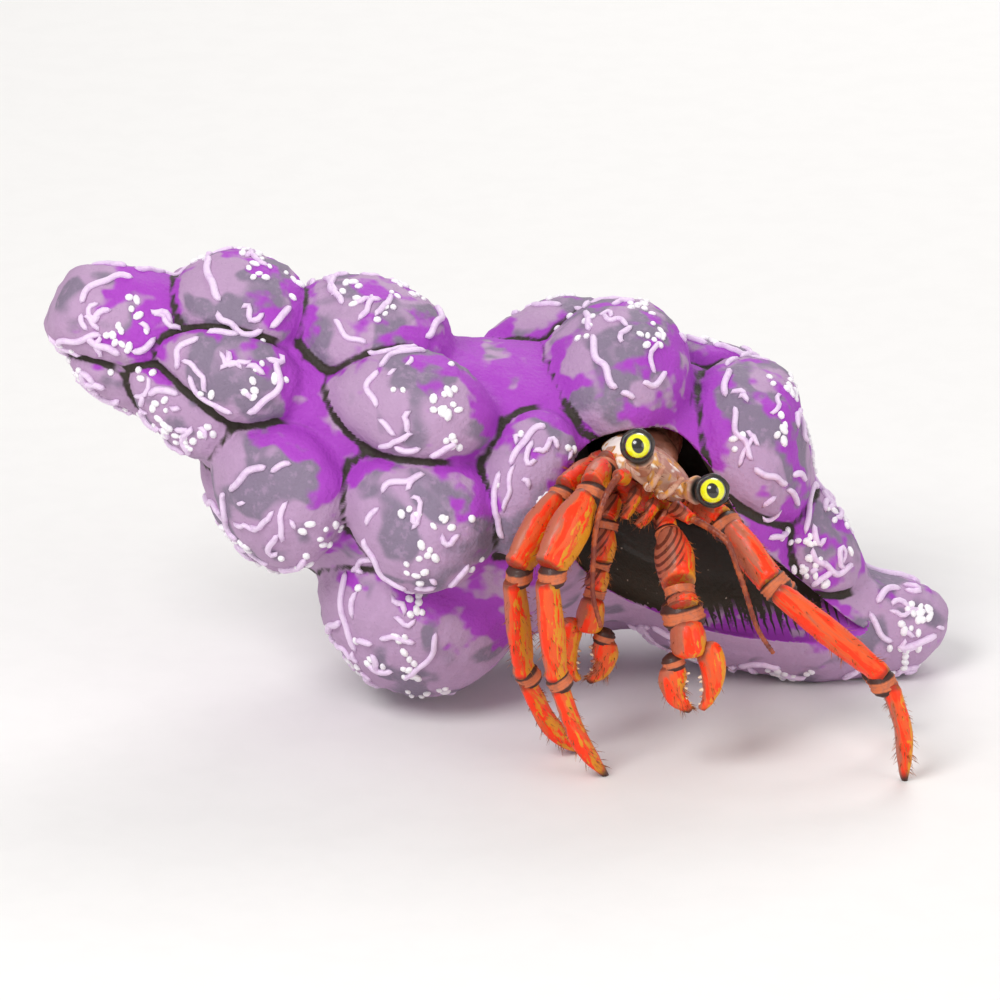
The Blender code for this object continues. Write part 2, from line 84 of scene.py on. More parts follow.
# ------------------------------------------------------------------ the shell's dimensions
APEX = Vector((-54.0, -3.5, 48.0))
CANAL_END = Vector((54.8, 4.6, 4.6))
SHELL_LENGTH = (CANAL_END - APEX).length
MOUTH_TURN = 19.0  # degrees round from the front that the mouth looks up
FAR_OUT = 60.0  # further from the axis than any knob
CANAL_START = (97, 105)  # the places between which the knobs give way to the plain canal
FRINGE_START = (80, 90)  # the places between which the crust starts to reach in over the lip
GROOVE = 0.65  # half-width of the groove round a knob
TALLEST_RELIEF = 0.35
FLOOR_RISE = 1.2  # the relief fades out over this height above the floor
CANAL_DRAW = 0.42  # how far the passage is drawn in at its canal end, in half-widths
# The outline: place along the axis from the apex, and distance from the axis.
UPPER_SIDE = (
    (0, 0.0), (0.7, 4.2), (2.5, 6.8), (7, 8.2), (12, 9.2), (20, 10.2), (28, 11.2), (38, 12.6),
    (48, 13.4), (60, 16.4), (72, 17.8), (85, 18.4), (94, 10.0), (99, 6.4), (104, 3.6),
    (111, 4.3), (115.5, 3.2), (117.3, 0.0),
)
UNDER_SIDE = (
    (0, 0.0), (0.7, 2.2), (2.5, 3.2), (7, 4.2), (12, 5.0), (18.6, 7.8), (25, 11.2), (33, 15.2),
    (41, 18.6), (52, 21.4), (62, 20.4), (68, 16.0), (74, 11.8), (80, 10.0), (86, 11.6),
    (102, 11.4), (108, 9.4), (114, 6.6), (117.3, 0.0),
)
# Place, and how much further out the back lies there.
BACK_SWELL = ((42, 0.0), (64, 2.4), (76, 4.0), (90, 3.2), (106, 0.0))
# A knob: place, degrees round from the front, half-length, half-width and height.
FRONT_KNOBS = (
    (21.2, 84, 8.2, 12.5, 5.0), (21.6, 22, 8.4, 6.6, 5.0), (18.0, -24, 7.0, 6.4, 3.6),
    (36.6, 86, 10.2, 13.5, 5.2), (42.8, 34, 10.0, 8.4, 7.4), (31.6, -30, 8.6, 11.5, 7.0),
    (47.8, -6, 9.6, 9.6, 7.0), (53.4, -62, 12.4, 15.0, 7.2), (58.4, 20, 5.6, 10.4, 4.2),
    (66.2, 88, 8.8, 17.0, 7.0), (86.2, 82, 9.8, 16.0, 4.2), (98.0, 60, 6.4, 8.0, 3.0),
)
# A row of knobs: its first and last one's place and degrees, their number, and a knob's sizes.
BACK_ROWS = (
    (11.0, -80, 19.5, -230, 3, 6.6, 6.6, 2.6), (32.0, -84, 35.5, -236, 4, 8.0, 8.6, 4.6),
    (56.0, -112, 62.5, -232, 3, 10.6, 11.0, 6.0), (75.0, -122, 80.5, -228, 3, 9.0, 9.6, 4.6),
    (94.0, -140, 97.0, -220, 2, 6.4, 6.4, 2.6),
)
FOOT_WIDTH = 5.5  # how far out from the knobs' feet the hollows between them count
# The painted shade in a knob's crevice is strongest on this side.
RIM_BEARING = math.radians(205)  # the side of a knob where its crevice is darkest
# The knobs' sides that face this way take the purple as painted shade.
SHADE_SIDE_WAY = (0.72, -0.08, 0.69)  # the way that the knobs' purple sides face
# Even stretches between the knobs that carry growths too: as a knob, without a height.
EVEN_PATCHES = (
    (8, 40, 7.0, 7.0), (8, -40, 7.0, 6.0), (9, 130, 7.0, 7.0), (110, 20, 7.0, 5.0),
    (110, -60, 7.0, 6.0), (108, 140, 7.0, 5.0), (98, -70, 8.0, 7.0), (86, -66, 8.0, 6.0),
    (92, 30, 8.0, 7.0), (70, -130, 8.0, 8.0), (44, -120, 8.0, 8.0), (49, -40, 9.0, 8.0),
)
# The mouth's passage, section by section: its inner and outer edge across the axis, its first and
# last place along it, and how far its outer edge is drawn in on the canal's side.
PASSAGE = (
    ((34.0, -10.0), (34.0, 12.2), 62.0, 108.5, 8.6),
    ((13.0, -9.6), (18.6, 12.2), 62.0, 108.5, 8.6),
    ((5.6, -8.8), (13.6, 12.2), 62.7, 106.0, 8.2),
    ((2.6, -3.6), (9.6, 12.8), 65.0, 100.0, 3.0),
    ((2.4, 2.4), (3.6, 15.4), 66.0, 93.0, 0.0),
    ((0.0, 3.4), (-5.4, 14.0), 66.0, 88.0, 0.0),
    ((-2.8, 1.8), (-12.0, 8.0), 65.5, 84.0, 0.0),
    ((-3.2, -0.8), (-13.0, -2.0), 64.5, 80.0, 0.0),
    ((-3.2, -3.6), (-8.6, -8.6), 64.0, 74.0, 0.0),
)
LIP_FULL, LIP_FREE = math.radians(80), math.radians(121)  # where that fades, round a section

# ------------------------------------------------------------------ the crab's nodes
LEGS = ("leg_right_front", "leg_right_rear", "leg_left_front", "leg_left_rear")
ARMS = ("cheliped_right", "cheliped_left")
LEG_SEGMENTS = ("ischium", "merus", "carpus", "propodus", "dactyl")
ARM_SEGMENTS = ("ischium", "merus", "carpus", "palm", "dactyl")
CHAINS = {limb: LEG_SEGMENTS for limb in LEGS} | {arm: ARM_SEGMENTS for arm in ARMS}
SOFT_TRUNK = ("carapace_rear", "abdomen_front", "abdomen_rear", "tail_fan")
HIND_LEGS = tuple(f"hind_leg_{p}" for p in ("left_upper", "left_lower", "right_upper", "right_lower"))
PLATE = "{}_plate"  # the name of a node's plate
VIEW_ELEVATION = 20.0  # degrees above level from which the model is usually seen


# ------------------------------------------------------------------ settings
def tone(red, green, blue):
    """A screen colour of 0 to 255 as the linear values that a material takes."""
    shares = (c / 255 for c in (red, green, blue))
    return tuple(c / 12.92 if c <= 0.04045 else ((c + 0.055) / 1.055) ** 2.4 for c in shares)


def shaded(colour, factor):
    """A colour with its values times a factor, up to 1."""
    return tuple(min(1.0, c * factor) for c in colour)


def colour(name, description, *screen):
    return FloatVectorProperty(
        name=name, description=description, default=tone(*screen), subtype="COLOR",
        size=3, min=0, max=1,
    )


def length(name, description, millimetres):
    return FloatProperty(
        name=name, description=description, default=millimetres * MM, subtype="DISTANCE",
        unit="LENGTH", min=0, precision=5,
    )


def count(name, description, default, most):
    return IntProperty(name=name, description=description, default=default, min=0, max=most)


def power(name, watts):
    return FloatProperty(
        name=name, description="Power in watts", default=watts, min=0, unit="POWER",
    )


class ShellSettings(bpy.types.PropertyGroup):
    sides: count("Sides", "Divisions round the shell, before they are cut finer", 96, 128)
    rings: count("Rings", "Divisions along the shell, before they are cut finer", 56, 80)
    fineness: count("Fineness", "Cuts across each division", 3, 3)
    groove_depth: length("Groove depth", "Depth of the crevices round the knobs", 0.55)
    # The dark of the crevices is painted shade; this is how far it reaches.
    crevice: length("Crevice half-width", "How far the dark of a crevice reaches to its sides", 0.5)
    fringe: length("Fringe width", "How far the crust reaches in over the lower lip", 7.0)
    lump_height: length("Lump height", "Height of the crust's soft lumps", 0.30)
    cord_height: length("Cord height", "Height of the cords that run round the shell", 0.07)
    cord_spacing: length("Cord spacing", "From one cord to the next", 1.7)
    mauve: colour("Mauve", "Main colour of the crust", 182, 148, 183)
    slate: colour("Grey mauve", "Worn patches of the crust", 127, 114, 135)
    # The crust's own purple, also laid as painted shade in the hollows and on the knobs' upper right
    # sides.
    purple: colour("Purple", "Fresh crust in the hollows", 168, 62, 189)
    # Painted shade: this dark colour stands for the shade in the crevices and in the hatching of the
    # mouth.
    grime: colour("Grime", "Dirt in the crevices and the mouth", 48, 40, 32)
    # Painted shade: the inside of the shell is coloured this dark for the shade in the mouth.
    lining: colour("Lining", "Inside of the shell", 62, 52, 40)


class GrowthSettings(bpy.types.PropertyGroup):
    ridge_radius: length("Ridge radius", "Half-thickness of the pale ridges", 0.44)
    fleck_radius: length("Fleck radius", "Radius of the white flecks", 0.45)
    ridge_colour: colour("Ridge colour", "Pale pink ridges", 236, 212, 240)
    # The flecks are raised specks whose white is painted highlight.
    fleck_colour: colour("Fleck colour", "White flecks", 250, 246, 250)


class ArmourSettings(bpy.types.PropertyGroup):
    flange: length("Flange height", "Height of the rim at a segment's far end", 0.10)
    keel: length("Keel height", "Height of the ridges along a limb's edges", 0.10)
    lumps: length("Lump height", "Height of the plates' uneven swells", 0.07)
    tooth: length("Tooth length", "Length of the claw teeth", 0.75)
    bristle: length("Bristle length", "Length of the longest bristles", 1.3)
    bristle_radius: length("Bristle radius", "Half-thickness of a bristle at its root", 0.035)
    orange_red: colour("Orange-red", "Main colour of the plates", 255, 54, 0)
    light_orange: colour("Light orange", "Paler strokes on the plates", 230, 94, 40)
    # Amber streaks are painted highlight, and the brown-pink on the upper edges is painted shade.
    amber: colour("Amber", "Streaks on the plates' lower edges", 226, 146, 24)
    brown_pink: colour("Brown-pink", "Shade on the plates' upper edges", 176, 100, 76)
    # Painted shade, drawn as dark hatching on the inner plates.
    rust: colour("Rust", "Hatched shade on the inner plates", 84, 32, 20)
    nail: colour("Nail", "Horny tips of the legs and fingers", 70, 34, 20)
    tooth_colour: colour("Tooth colour", "Claw teeth", 246, 226, 196)
    bristle_colour: colour("Bristle colour", "Bristles", 190, 110, 40)
    joint_skin: colour("Joint skin", "Skin between the plates", 214, 112, 66)
    joint_shade: colour("Joint shade", "Skin close to the plates' edges", 62, 28, 18)


class FaceSettings(bpy.types.PropertyGroup):
    pupil: length("Pupil half-width", "Half-width of the pupil", 0.70)
    ring: length("Ring radius", "Radius of the yellow ring", 1.38)
    collar: length("Collar thickness", "Half-thickness of the dark collar round an eye", 0.40)
    tan: colour("Tan", "Main colour of the face", 206, 158, 132)
    cream: colour("Cream", "Pale strokes of the face", 255, 244, 232)
    amber: colour("Amber", "Warm strokes of the face", 222, 152, 44)
    pink: colour("Pinkish brown", "Shaded strokes of the face", 176, 110, 88)
    line: colour("Brown line", "Fine dark lines of the face", 84, 44, 28)
    yellow: colour("Yellow", "Ring of the eyes", 244, 244, 10)
    black: colour("Black", "Pupil and collar of the eyes", 28, 24, 20)
    feeler: colour("Feeler", "Colour of the feelers", 120, 44, 24)


class BodySettings(bpy.types.PropertyGroup):
    bridge: length("Bridge", "How far the soft parts swell to meet", 0.45)
    cell: length("Cell", "Size of the skin's mesh cells", 0.28)
    skin: colour("Skin", "Soft hind body", 214, 138, 112)
    vein: colour("Vein", "Darker bands of the hind body", 150, 66, 50)


class StageSettings(bpy.types.PropertyGroup):
    distance: length("Camera distance", "From the camera to the middle of the model", 800.0)
    lens: FloatProperty(
        name="Lens", description="Focal length in mm", default=240.0, min=20, max=400,
    )
    aim_height: length("Aim height", "Height that the camera looks at", 23.1)
    floor: colour("Floor", "Colour of the floor", 240, 238, 236)
    key: power("Key light", 3.0)
    fill: power("Fill light", 1.2)
    back: power("Back light", 1.6)
    sky: FloatProperty(
        name="Sky", description="Strength of the even light", default=0.5, min=0, max=5,
    )


class CrabSettings(bpy.types.PropertyGroup):
    shell: PointerProperty(type=ShellSettings)
    growths: PointerProperty(type=GrowthSettings)
    armour: PointerProperty(type=ArmourSettings)
    face: PointerProperty(type=FaceSettings)
    body: PointerProperty(type=BodySettings)
    stage: PointerProperty(type=StageSettings)


# ------------------------------------------------------------------ materials
class Socket:
    """An output of a material's node; arithmetic on it adds Math nodes."""

    def __init__(self, output):
        self.output = output

    def math(self, operation, *others):
        """A Math node that takes this output first and the others after it."""
        values = dict(enumerate((self, *others)))
        return add_node(self.output.id_data, "ShaderNodeMath", {"operation": operation}, values)

    def __add__(self, other):
        return self.math("ADD", other)

    __radd__ = __add__

    def __sub__(self, other):
        return self.math("SUBTRACT", other)

    def __rsub__(self, other):
        return self.math("MULTIPLY_ADD", -1.0, other)

    def __mul__(self, other):
        return self.math("MULTIPLY", other)

    __rmul__ = __mul__

    def over(self, low, high):
        """0 below low, 1 above high, a smooth rise between; it falls where low is above high."""
        settings, values = {"interpolation_type": "SMOOTHSTEP"}, {0: self, 1: low, 2: high}
        return add_node(self.output.id_data, "ShaderNodeMapRange", settings, values)


def add_node(tree, kind, settings, values, output=0):
    """Adds a node, its settings first and then its sockets' values or links; gives an output."""
    made = tree.nodes.new(kind)
    for name, value in (settings or {}).items():
        setattr(made, name, value)
    for key, value in (values or {}).items():
        if isinstance(value, Socket):
            tree.links.new(value.output, made.inputs[key])
        else:
            made.inputs[key].default_value = value
    return Socket(made.outputs[output])


SHADER_INPUTS = {
    "coat": "Coat Weight", "coat_rough": "Coat Roughness", "specular": "Specular IOR Level",
}


class Finish:
    """A material being made."""

    def __init__(self, name):
        self.material = bpy.data.materials.new(name)
        self.material.use_nodes = True
        self.tree = self.material.node_tree
        self.shader = self.tree.nodes["Principled BSDF"]
        place = self.node("ShaderNodeTexCoord", output=3)
        self.place = self.scaled(place, 1 / MM)

    def node(self, kind, settings=None, values=None, output=0):
        return add_node(self.tree, kind, settings, values, output)

    def scaled(self, vector, factor):
        return self.node("ShaderNodeVectorMath", {"operation": "SCALE"}, {0: vector, "Scale": factor})

    def stretched(self, vector, factors):
        return self.node("ShaderNodeVectorMath", {"operation": "MULTIPLY"}, {0: vector, 1: factors})

    def attribute(self, name, output=2):
        return self.node("ShaderNodeAttribute", {"attribute_name": name}, output=output)

    def noise(self, size, detail=3.0, place=None, warp=0.0):
        """Noise whose features are about size millimetres across."""
        values = {"Vector": place or self.place, "Scale": 1 / size, "Detail": detail}
        values |= {"Roughness": 0.55, "Distortion": warp}
        return self.node("ShaderNodeTexNoise", values=values)

    def cells(self, size, place=None):
        """Distance from the middle of irregular cells about size millimetres across."""
        values = {"Vector": place or self.place, "Scale": 1 / size}
        return self.node("ShaderNodeTexVoronoi", values=values)

    def strokes(self, way, spacing, sway):
        """Parallel strokes that follow each other that way, spacing millimetres apart: -1 to 1."""
        settings, values = {"operation": "DOT_PRODUCT"}, {0: self.place, 1: way}
        along = self.node("ShaderNodeVectorMath", settings, values, output=1)
        return (along * (2 * math.pi / spacing) + sway).math("SINE")

    def coats(self, ground, *layers):
        """The ground colour under layers of (colour, share), each laid over the one before."""
        shade = (*ground, 1.0)
        for layer, share in layers:
            values = {0: share, 6: shade, 7: layer if isinstance(layer, Socket) else (*layer, 1.0)}
            shade = self.node("ShaderNodeMix", {"data_type": "RGBA"}, values, output=2)
        return shade

    def surface(self, shade, rough, relief, depth, **constants):
        """Sets the shader: its relief of 0 to 1 stands for depth millimetres of bumps."""
        bumps = self.node("ShaderNodeBump", values={"Height": relief, "Distance": depth * MM})
        for name, value in (("Base Color", shade), ("Roughness", rough), ("Normal", bumps)):
            self.tree.links.new(value.output, self.shader.inputs[name])
        for name, value in constants.items():
            self.shader.inputs[SHADER_INPUTS[name]].default_value = value
        return self.material


def crust_finish(s):
    f = Finish("limy crust")
    valley, lee, line, crease = (f.attribute(n) for n in ("valley", "lee", "line", "crease"))
    patch = f.noise(6.5, 1.5, warp=0.5)
    cloud = f.noise(4.6, 2.0, f.stretched(f.place, (1.0, 1.0, 1.3)))
    mottle = f.noise(1.1, 4.0)
    grain = f.noise(0.32)
    pits = f.cells(0.55)
    slate = (patch * 1.2 + lee * 0.06 - valley * 0.08).over(0.56, 0.68)
    # Purple: the crust's colour in noisy patches, and painted shade in the hollows and on the knobs'
    # upper right sides.
    purple_and_shade = (valley * 0.42 + lee * 0.36 + cloud * 1.3).over(0.91, 1.07)
    # Painted shade in the crevices: darkest on the knobs' rim side, fainter all round.
    edge = s.crevice / MM
    reach = crease + (mottle - 0.5) * 0.3 + (cloud - 0.5) * 0.6
    dark = reach.over(edge * 1.4, edge * 0.85) * line.over(0.12, 0.5)
    dark = dark.math("MAXIMUM", crease.over(edge * 0.8, 0.0) * 0.45)
    shade = f.coats(
        s.mauve,
        (s.slate, slate * 0.92),
        (s.purple, purple_and_shade),
        (shaded(s.mauve, 1.2), mottle.over(0.52, 0.72) * (1 - purple_and_shade) * 0.3),
        (shaded(s.slate, 0.5), pits.over(0.16, 0.04) * 0.3),
        (s.grime, dark),
    )
    relief = grain * 0.5 + mottle * 0.7 + pits * 0.4
    return f.surface(shade, 0.48 + grain * 0.3, relief, 0.16, specular=0.4)


def lining_finish(s):
    f = Finish("shell lining")
    depth, fringe = f.attribute("depth"), f.attribute("fringe")
    cloud = f.noise(2.4)
    silt = f.noise(0.5)
    specks = f.cells(1.5)
    strokes = f.strokes((0.95, 0.1, 0.25), 0.85, cloud * 4.0)
    net = strokes.math("MAXIMUM", f.strokes((0.5, 0.75, -0.45), 1.3, silt * 4.0) - 0.35)
    crust = (fringe + cloud * 0.5 - 0.25).over(0.15, 0.5)
    hatched = f.coats(
        s.mauve,
        (s.purple, (cloud + fringe * 0.15).over(0.46, 0.60)),
        # Dark hatching as painted shade, where the crust's fringe gives way to the shaded mouth.
        (s.grime, (net * 0.5 - fringe * 1.2).over(-0.55, -0.25)),
    )
    # Painted shade: the lining's dark colour, darker still further in; the crust's fringe at the lip
    # and pale specks over it.
    shade = f.coats(
        s.lining,
        (hatched, crust),
        (shaded(s.lining, 0.45), depth.over(3.0, 12.0) * (1 - crust)),
        (tone(170, 156, 142), specks.over(0.12, 0.05) * silt.over(0.5, 0.58)),
    )
    return f.surface(shade, 0.5 + silt * 0.25, silt + cloud * 0.6, 0.1, coat=0.1)


def growth_finish(name, ground, mark):
    f = Finish(name)
    mottle, grain = f.noise(0.9), f.noise(0.22)
    shade = f.coats(ground, (mark, mottle.over(0.48, 0.68) * 0.5))
    return f.surface(shade, 0.38 + grain * 0.3, grain + mottle, 0.06)


def armour_finish(s):
    f = Finish("crab armour")
    grain = f.attribute("grain", 1)
    flank, share, dull, nail = (f.attribute(n) for n in ("flank", "share", "dull", "nail"))
    long_stroke = f.noise(0.85, 3.0, f.stretched(grain, (1.0, 1.0, 0.16)), warp=0.3)
    short_stroke = f.noise(0.5, 3.0, f.stretched(grain, (1.0, 1.0, 0.3)))
    cloud = f.noise(2.0, 2.0, grain)
    spots = f.cells(0.62, grain)
    fine = f.noise(0.16, place=grain)
    hatching = f.strokes((0.75, 0.0, -0.66), 0.6, cloud * 2.4).over(0.05, 0.5)
    shade = f.coats(
        s.orange_red,
        (s.light_orange, (long_stroke + cloud * 0.3).over(0.60, 0.70) * 0.8),
        # Brown-pink as painted shade on the sides facing away from the painted light, amber as
        # painted highlight on the sides facing it.
        (s.brown_pink, (long_stroke * 0.7 - flank * 0.42).over(0.44, 0.58) * 0.9),
        (s.amber, (short_stroke * 0.8 + flank * 0.36).over(0.56, 0.63)),
        # Painted hatched shade on the inner plates, the thorax and the mouth's limbs, away from the
        # painted light.
        (shaded(s.brown_pink, 0.8), dull * 0.75),
        (s.rust, dull.over(0.1, 0.5) * hatching * 0.85),
        (s.nail, share.over(0.955, 1.0) * 0.6 + share.over(0.06, 0.0) * 0.6),
        (s.amber, spots.over(0.16, 0.05) * cloud.over(0.45, 0.6) * 0.5),
        (s.nail, nail),
    )
    relief = fine * 0.5 + spots.over(0.3, 0.0) * 0.5 + long_stroke * 0.5
    return f.surface(shade, 0.34 + fine * 0.26, relief, 0.07, coat=0.15, coat_rough=0.2, specular=0.3)


def face_finish(s):
    f = Finish("tan face plates")
    grain = f.attribute("grain", 1)
    flank = f.attribute("flank")
    stroke = f.noise(2.2, 1.5, f.stretched(grain, (1.0, 0.35, 1.0)), warp=0.4)
    other = f.noise(2.0, 1.5, f.stretched(grain, (0.35, 1.0, 0.7)), warp=0.4)
    fine = f.noise(0.2)
    seam = (stroke - 0.40).math("ABSOLUTE").over(0.014, 0.004)
    shade = f.coats(
        s.tan,
        (s.pink, (stroke + flank * 0.06).over(0.50, 0.57) * 0.8),
        (s.amber, (other - flank * 0.12).over(0.54, 0.60) * 0.9),
        (s.cream, (stroke * 0.6 + other * 0.5 - flank * 0.13).over(0.64, 0.69)),
        (s.line, seam * 0.8),
        (s.black, f.attribute("collar")),
    )
    relief = fine * 0.6 + stroke * 0.6
    return f.surface(shade, 0.36 + fine * 0.25, relief, 0.06, coat=0.15, coat_rough=0.3)


def eye_finish(s):
    """A yellow ring, black inside its pupil and beyond its edge; two attributes say how far."""
    f = Finish("yellow eye")
    gaze, pupil = f.attribute("gaze"), f.attribute("pupil")
    fine = f.noise(0.12)
    edge = s.ring / MM
    shade = f.coats(
        s.yellow,
        (tone(214, 196, 10), fine.over(0.45, 0.7) * 0.5),
        (s.black, pupil.over(1.08, 0.92)),
        (s.black, gaze.over(edge * 0.97, edge * 1.05)),
    )
    return f.surface(shade, 0.12 + fine * 0.1, fine, 0.006, coat=1.0, coat_rough=0.04)


def joint_finish(s):
    """Finely wrinkled skin, dark where it slips under the plates."""
    f = Finish("joint skin")
    edge, fold = f.attribute("edge"), f.attribute("fold")
    fine, mottle = f.noise(0.14), f.noise(0.6)
    shade = f.coats(
        s.joint_skin,
        (s.brown_pink, mottle.over(0.45, 0.65) * 0.6),
        (s.joint_shade, (edge + mottle * 0.3).over(0.75, 1.1)),
        (s.joint_shade, fold.over(0.6, 1.0) * 0.35),
    )
    return f.surface(shade, 0.45 + fine * 0.25, fine + mottle, 0.04, coat=0.1)


def plain_finish(name, ground, other, size, rough, depth, coat):
    """Mottled between two colours over a size in millimetres, with a fine grain."""
    f = Finish(name)
    mottle, fine = f.noise(size), f.noise(size * 0.2)
    shade = f.coats(ground, (other, mottle.over(0.42, 0.62)))
    relief = mottle + fine * 0.6
    return f.surface(shade, rough + fine * 0.2, relief, depth, coat=coat, coat_rough=0.25)


# ------------------------------------------------------------------ meshes
def settings():
    return bpy.context.scene.hermit_crab


def positions(verts):
    return np.array([v.co for v in verts], float).reshape(-1, 3)


def link(name, bm, materials, smooth=True):
    mesh = bpy.data.meshes.new(name)
    bm.to_mesh(mesh)
    bm.free()
    for material in materials:
        mesh.materials.append(material)
    obj = bpy.data.objects.new(name, mesh)
    bpy.context.scene.collection.objects.link(obj)
    if smooth:
        mesh.shade_smooth()
    return obj


def piece(obj, slot, *nodes):
    """Puts a piece on the model's one body and hides the nodes that it stands for."""
    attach(obj, "root")
    if nodes:
        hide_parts(*nodes)


def finished(obj, finish, slot, *nodes):
    obj.data.materials.append(finish)
    obj.data.shade_smooth()
    piece(obj, slot, *nodes)


def settle(obj):
    """Applies an object's modifiers."""
    depsgraph = bpy.context.evaluated_depsgraph_get()
    mesh = bpy.data.meshes.new_from_object(obj.evaluated_get(depsgraph), depsgraph=depsgraph)
    old = obj.data
    obj.modifiers.clear()
    obj.data = mesh
    bpy.data.meshes.remove(old)


def drop_small_parts(bm):
    """Deletes the vertices that aren't in the largest connected part of a mesh."""
    left, parts = set(bm.verts), []
    while left:
        part = front = {left.pop()}
        while front:
            front = {e.other_vert(v) for v in front for e in v.link_edges} - part
            part = part | front
        left -= part
        parts.append(part)
    largest = max(parts, key=len)
    bmesh.ops.delete(bm, geom=[v for v in bm.verts if v not in largest], context="VERTS")


def write_attribute(mesh, name, values):
    """Keeps one number, or one triple, for each vertex."""
    values = np.asarray(values, np.float32)
    kind, field = ("FLOAT_VECTOR", "vector") if values.ndim == 2 else ("FLOAT", "value")
    attribute = mesh.attributes.new(name, kind, "POINT")
    attribute.data.foreach_set(field, values.ravel())


def mesh_points(mesh):
    points = np.zeros(len(mesh.vertices) * 3, np.float32)
    mesh.vertices.foreach_get("co", points)
    return points.reshape(-1, 3).astype(float)


def mesh_normals(mesh):
    normals = np.zeros(len(mesh.vertices) * 3, np.float32)
    mesh.vertices.foreach_get("normal", normals)
    return normals.reshape(-1, 3).astype(float)


def move_points(mesh, points):
    mesh.vertices.foreach_set("co", np.asarray(points, np.float32).ravel())
    mesh.update()


def swell(mesh, relief):
    """Moves each vertex along its normal by its relief, but not below the floor."""
    points = mesh_points(mesh) + mesh_normals(mesh) * relief[:, None]
    points[:, 2] = np.maximum(points[:, 2], 0.0)
    move_points(mesh, points)


def smooth_verts(bm, verts, rounds):
    for _ in range(rounds):
        bmesh.ops.smooth_vert(
            bm, verts=verts, factor=0.5, use_axis_x=True, use_axis_y=True, use_axis_z=True
        )


def aimed(place, way):
    """A matrix that moves the origin to a place and turns Z that way."""
    return Matrix.Translation(place) @ way.to_track_quat("Z", "Y").to_matrix().to_4x4()


def lumps(points, size, seed, octaves=1):
    """Noise of about -1 to 1 at each point, with features of the given size."""
    total, weight = np.zeros(len(points)), 1.0
    for octave in range(octaves):
        places = (points * 2.0**octave / size + (seed, octave, 0)).tolist()
        total += weight * np.array([noise.noise(place) for place in places])
        weight *= 0.5
    return total


def mesh_edges(mesh):
    edges = np.zeros(len(mesh.edges) * 2, np.int32)
    mesh.edges.foreach_get("vertices", edges)
    return edges.reshape(-1, 2)


def evened(values, edges, rounds):
    """Moves each vertex's values half-way to its neighbours' mean, a few times over."""
    columns = values.reshape(len(values), -1).T.copy()
    ends, starts = edges.T.ravel(), edges[:, ::-1].T.ravel()
    neighbours = np.maximum(np.bincount(ends, minlength=len(values)), 1)
    for _ in range(rounds):
        for k, column in enumerate(columns):
            total = np.bincount(ends, weights=column[starts], minlength=len(values))
            columns[k] = column + 0.5 * (total / neighbours - column)
    return columns.T.reshape(values.shape)


def scatter(name, form, places):
    """One object that repeats a small form at many places, given as matrices."""
    triangles = bmesh.ops.triangulate(form, faces=form.faces)["faces"]
    faces = np.array([[v.index for v in face.verts] for face in triangles])
    corners = positions(form.verts)
    form.free()
    turns = np.array([m.to_3x3() for m in places])
    shifts = np.array([m.translation for m in places])
    points = np.einsum("kij,nj->kni", turns, corners) + shifts[:, None]
    offsets = np.arange(len(places))[:, None, None] * len(corners)
    obj = link(name, bmesh.new(), [])
    obj.data.from_pydata(points.reshape(-1, 3), [], (faces + offsets).reshape(-1, 3))
    return obj


def hump(x, centre, half_width):
    return np.exp(-(((x - centre) / half_width) ** 2))


def rise(x, low, high):
    share = np.clip((x - low) / (high - low), 0, 1)
    return share * share * (3 - 2 * share)


def ring_of(vert, last):
    """Which ring of a ball of radius 1 a vertex is on, from 0 at its top to the last."""
    return round(math.acos(max(-1.0, min(1.0, vert.co.z))) / math.pi * last)


def swept(bm, points, radii, sides):
    """Adds a round form to bm: its rings lie at the points, and its end radii are 0."""
    last = len(points) - 1
    made = bmesh.ops.create_uvsphere(bm, u_segments=sides, v_segments=last, radius=1)["verts"]
    toward = [points[min(k + 1, last)] - points[max(k - 1, 0)] for k in range(last + 1)]
    wide = toward[0].normalized().orthogonal().normalized()
    frames = []
    for direction in (way.normalized() for way in toward):
        wide = (wide - wide.dot(direction) * direction).normalized()
        frames.append((wide, wide.cross(direction)))
    for vert in made:
        ring = ring_of(vert, last)
        turn = math.atan2(vert.co.y, vert.co.x)
        one, other = frames[ring]
        out = one * math.cos(turn) + other * math.sin(turn)
        vert.co = points[ring] + out * radii[ring]


def smooth_between(x, stations):
    """A monotone cubic curve through (x, y) stations, read at every x."""
    xs, ys = (np.array(column, float) for column in zip(*stations))
    step = np.diff(xs)
    slope = np.diff(ys) / step
    tangent = np.zeros(len(xs))
    rising = slope[:-1] * slope[1:] > 0
    before = np.where(rising, slope[:-1], 1)
    after = np.where(rising, slope[1:], 1)
    tangent[1:-1] = np.where(rising, 2 / (1 / before + 1 / after), 0)
    tangent[0], tangent[-1] = slope[0], slope[-1]
    i = np.clip(np.searchsorted(xs, x) - 1, 0, len(step) - 1)
    t = np.clip((x - xs[i]) / step[i], 0, 1)
    return (
        (1 + 2 * t) * (1 - t) ** 2 * ys[i]
        + t * (1 - t) ** 2 * step[i] * tangent[i]
        + t * t * (3 - 2 * t) * ys[i + 1]
        - t * t * (1 - t) * step[i] * tangent[i + 1]
    )


# ------------------------------------------------------------------ the shell's form
def all_knobs():
    knobs = list(FRONT_KNOBS)
    for place, turn, last_place, last_turn, number, *size in BACK_ROWS:
        for share in np.linspace(0, 1, number):
            at = place + share * (last_place - place)
            knobs.append((at, turn + share * (last_turn - turn), *size))
    return knobs


def shell_base(along, angle):
    upper = smooth_between(along, UPPER_SIDE)
    under = smooth_between(along, UNDER_SIDE)
    turn = angle - math.radians(MOUTH_TURN)
    back = smooth_between(along, BACK_SWELL) * (1 - np.cos(turn)) / 2
    return (upper + under) / 2 + (upper - under) / 2 * np.sin(turn) + back


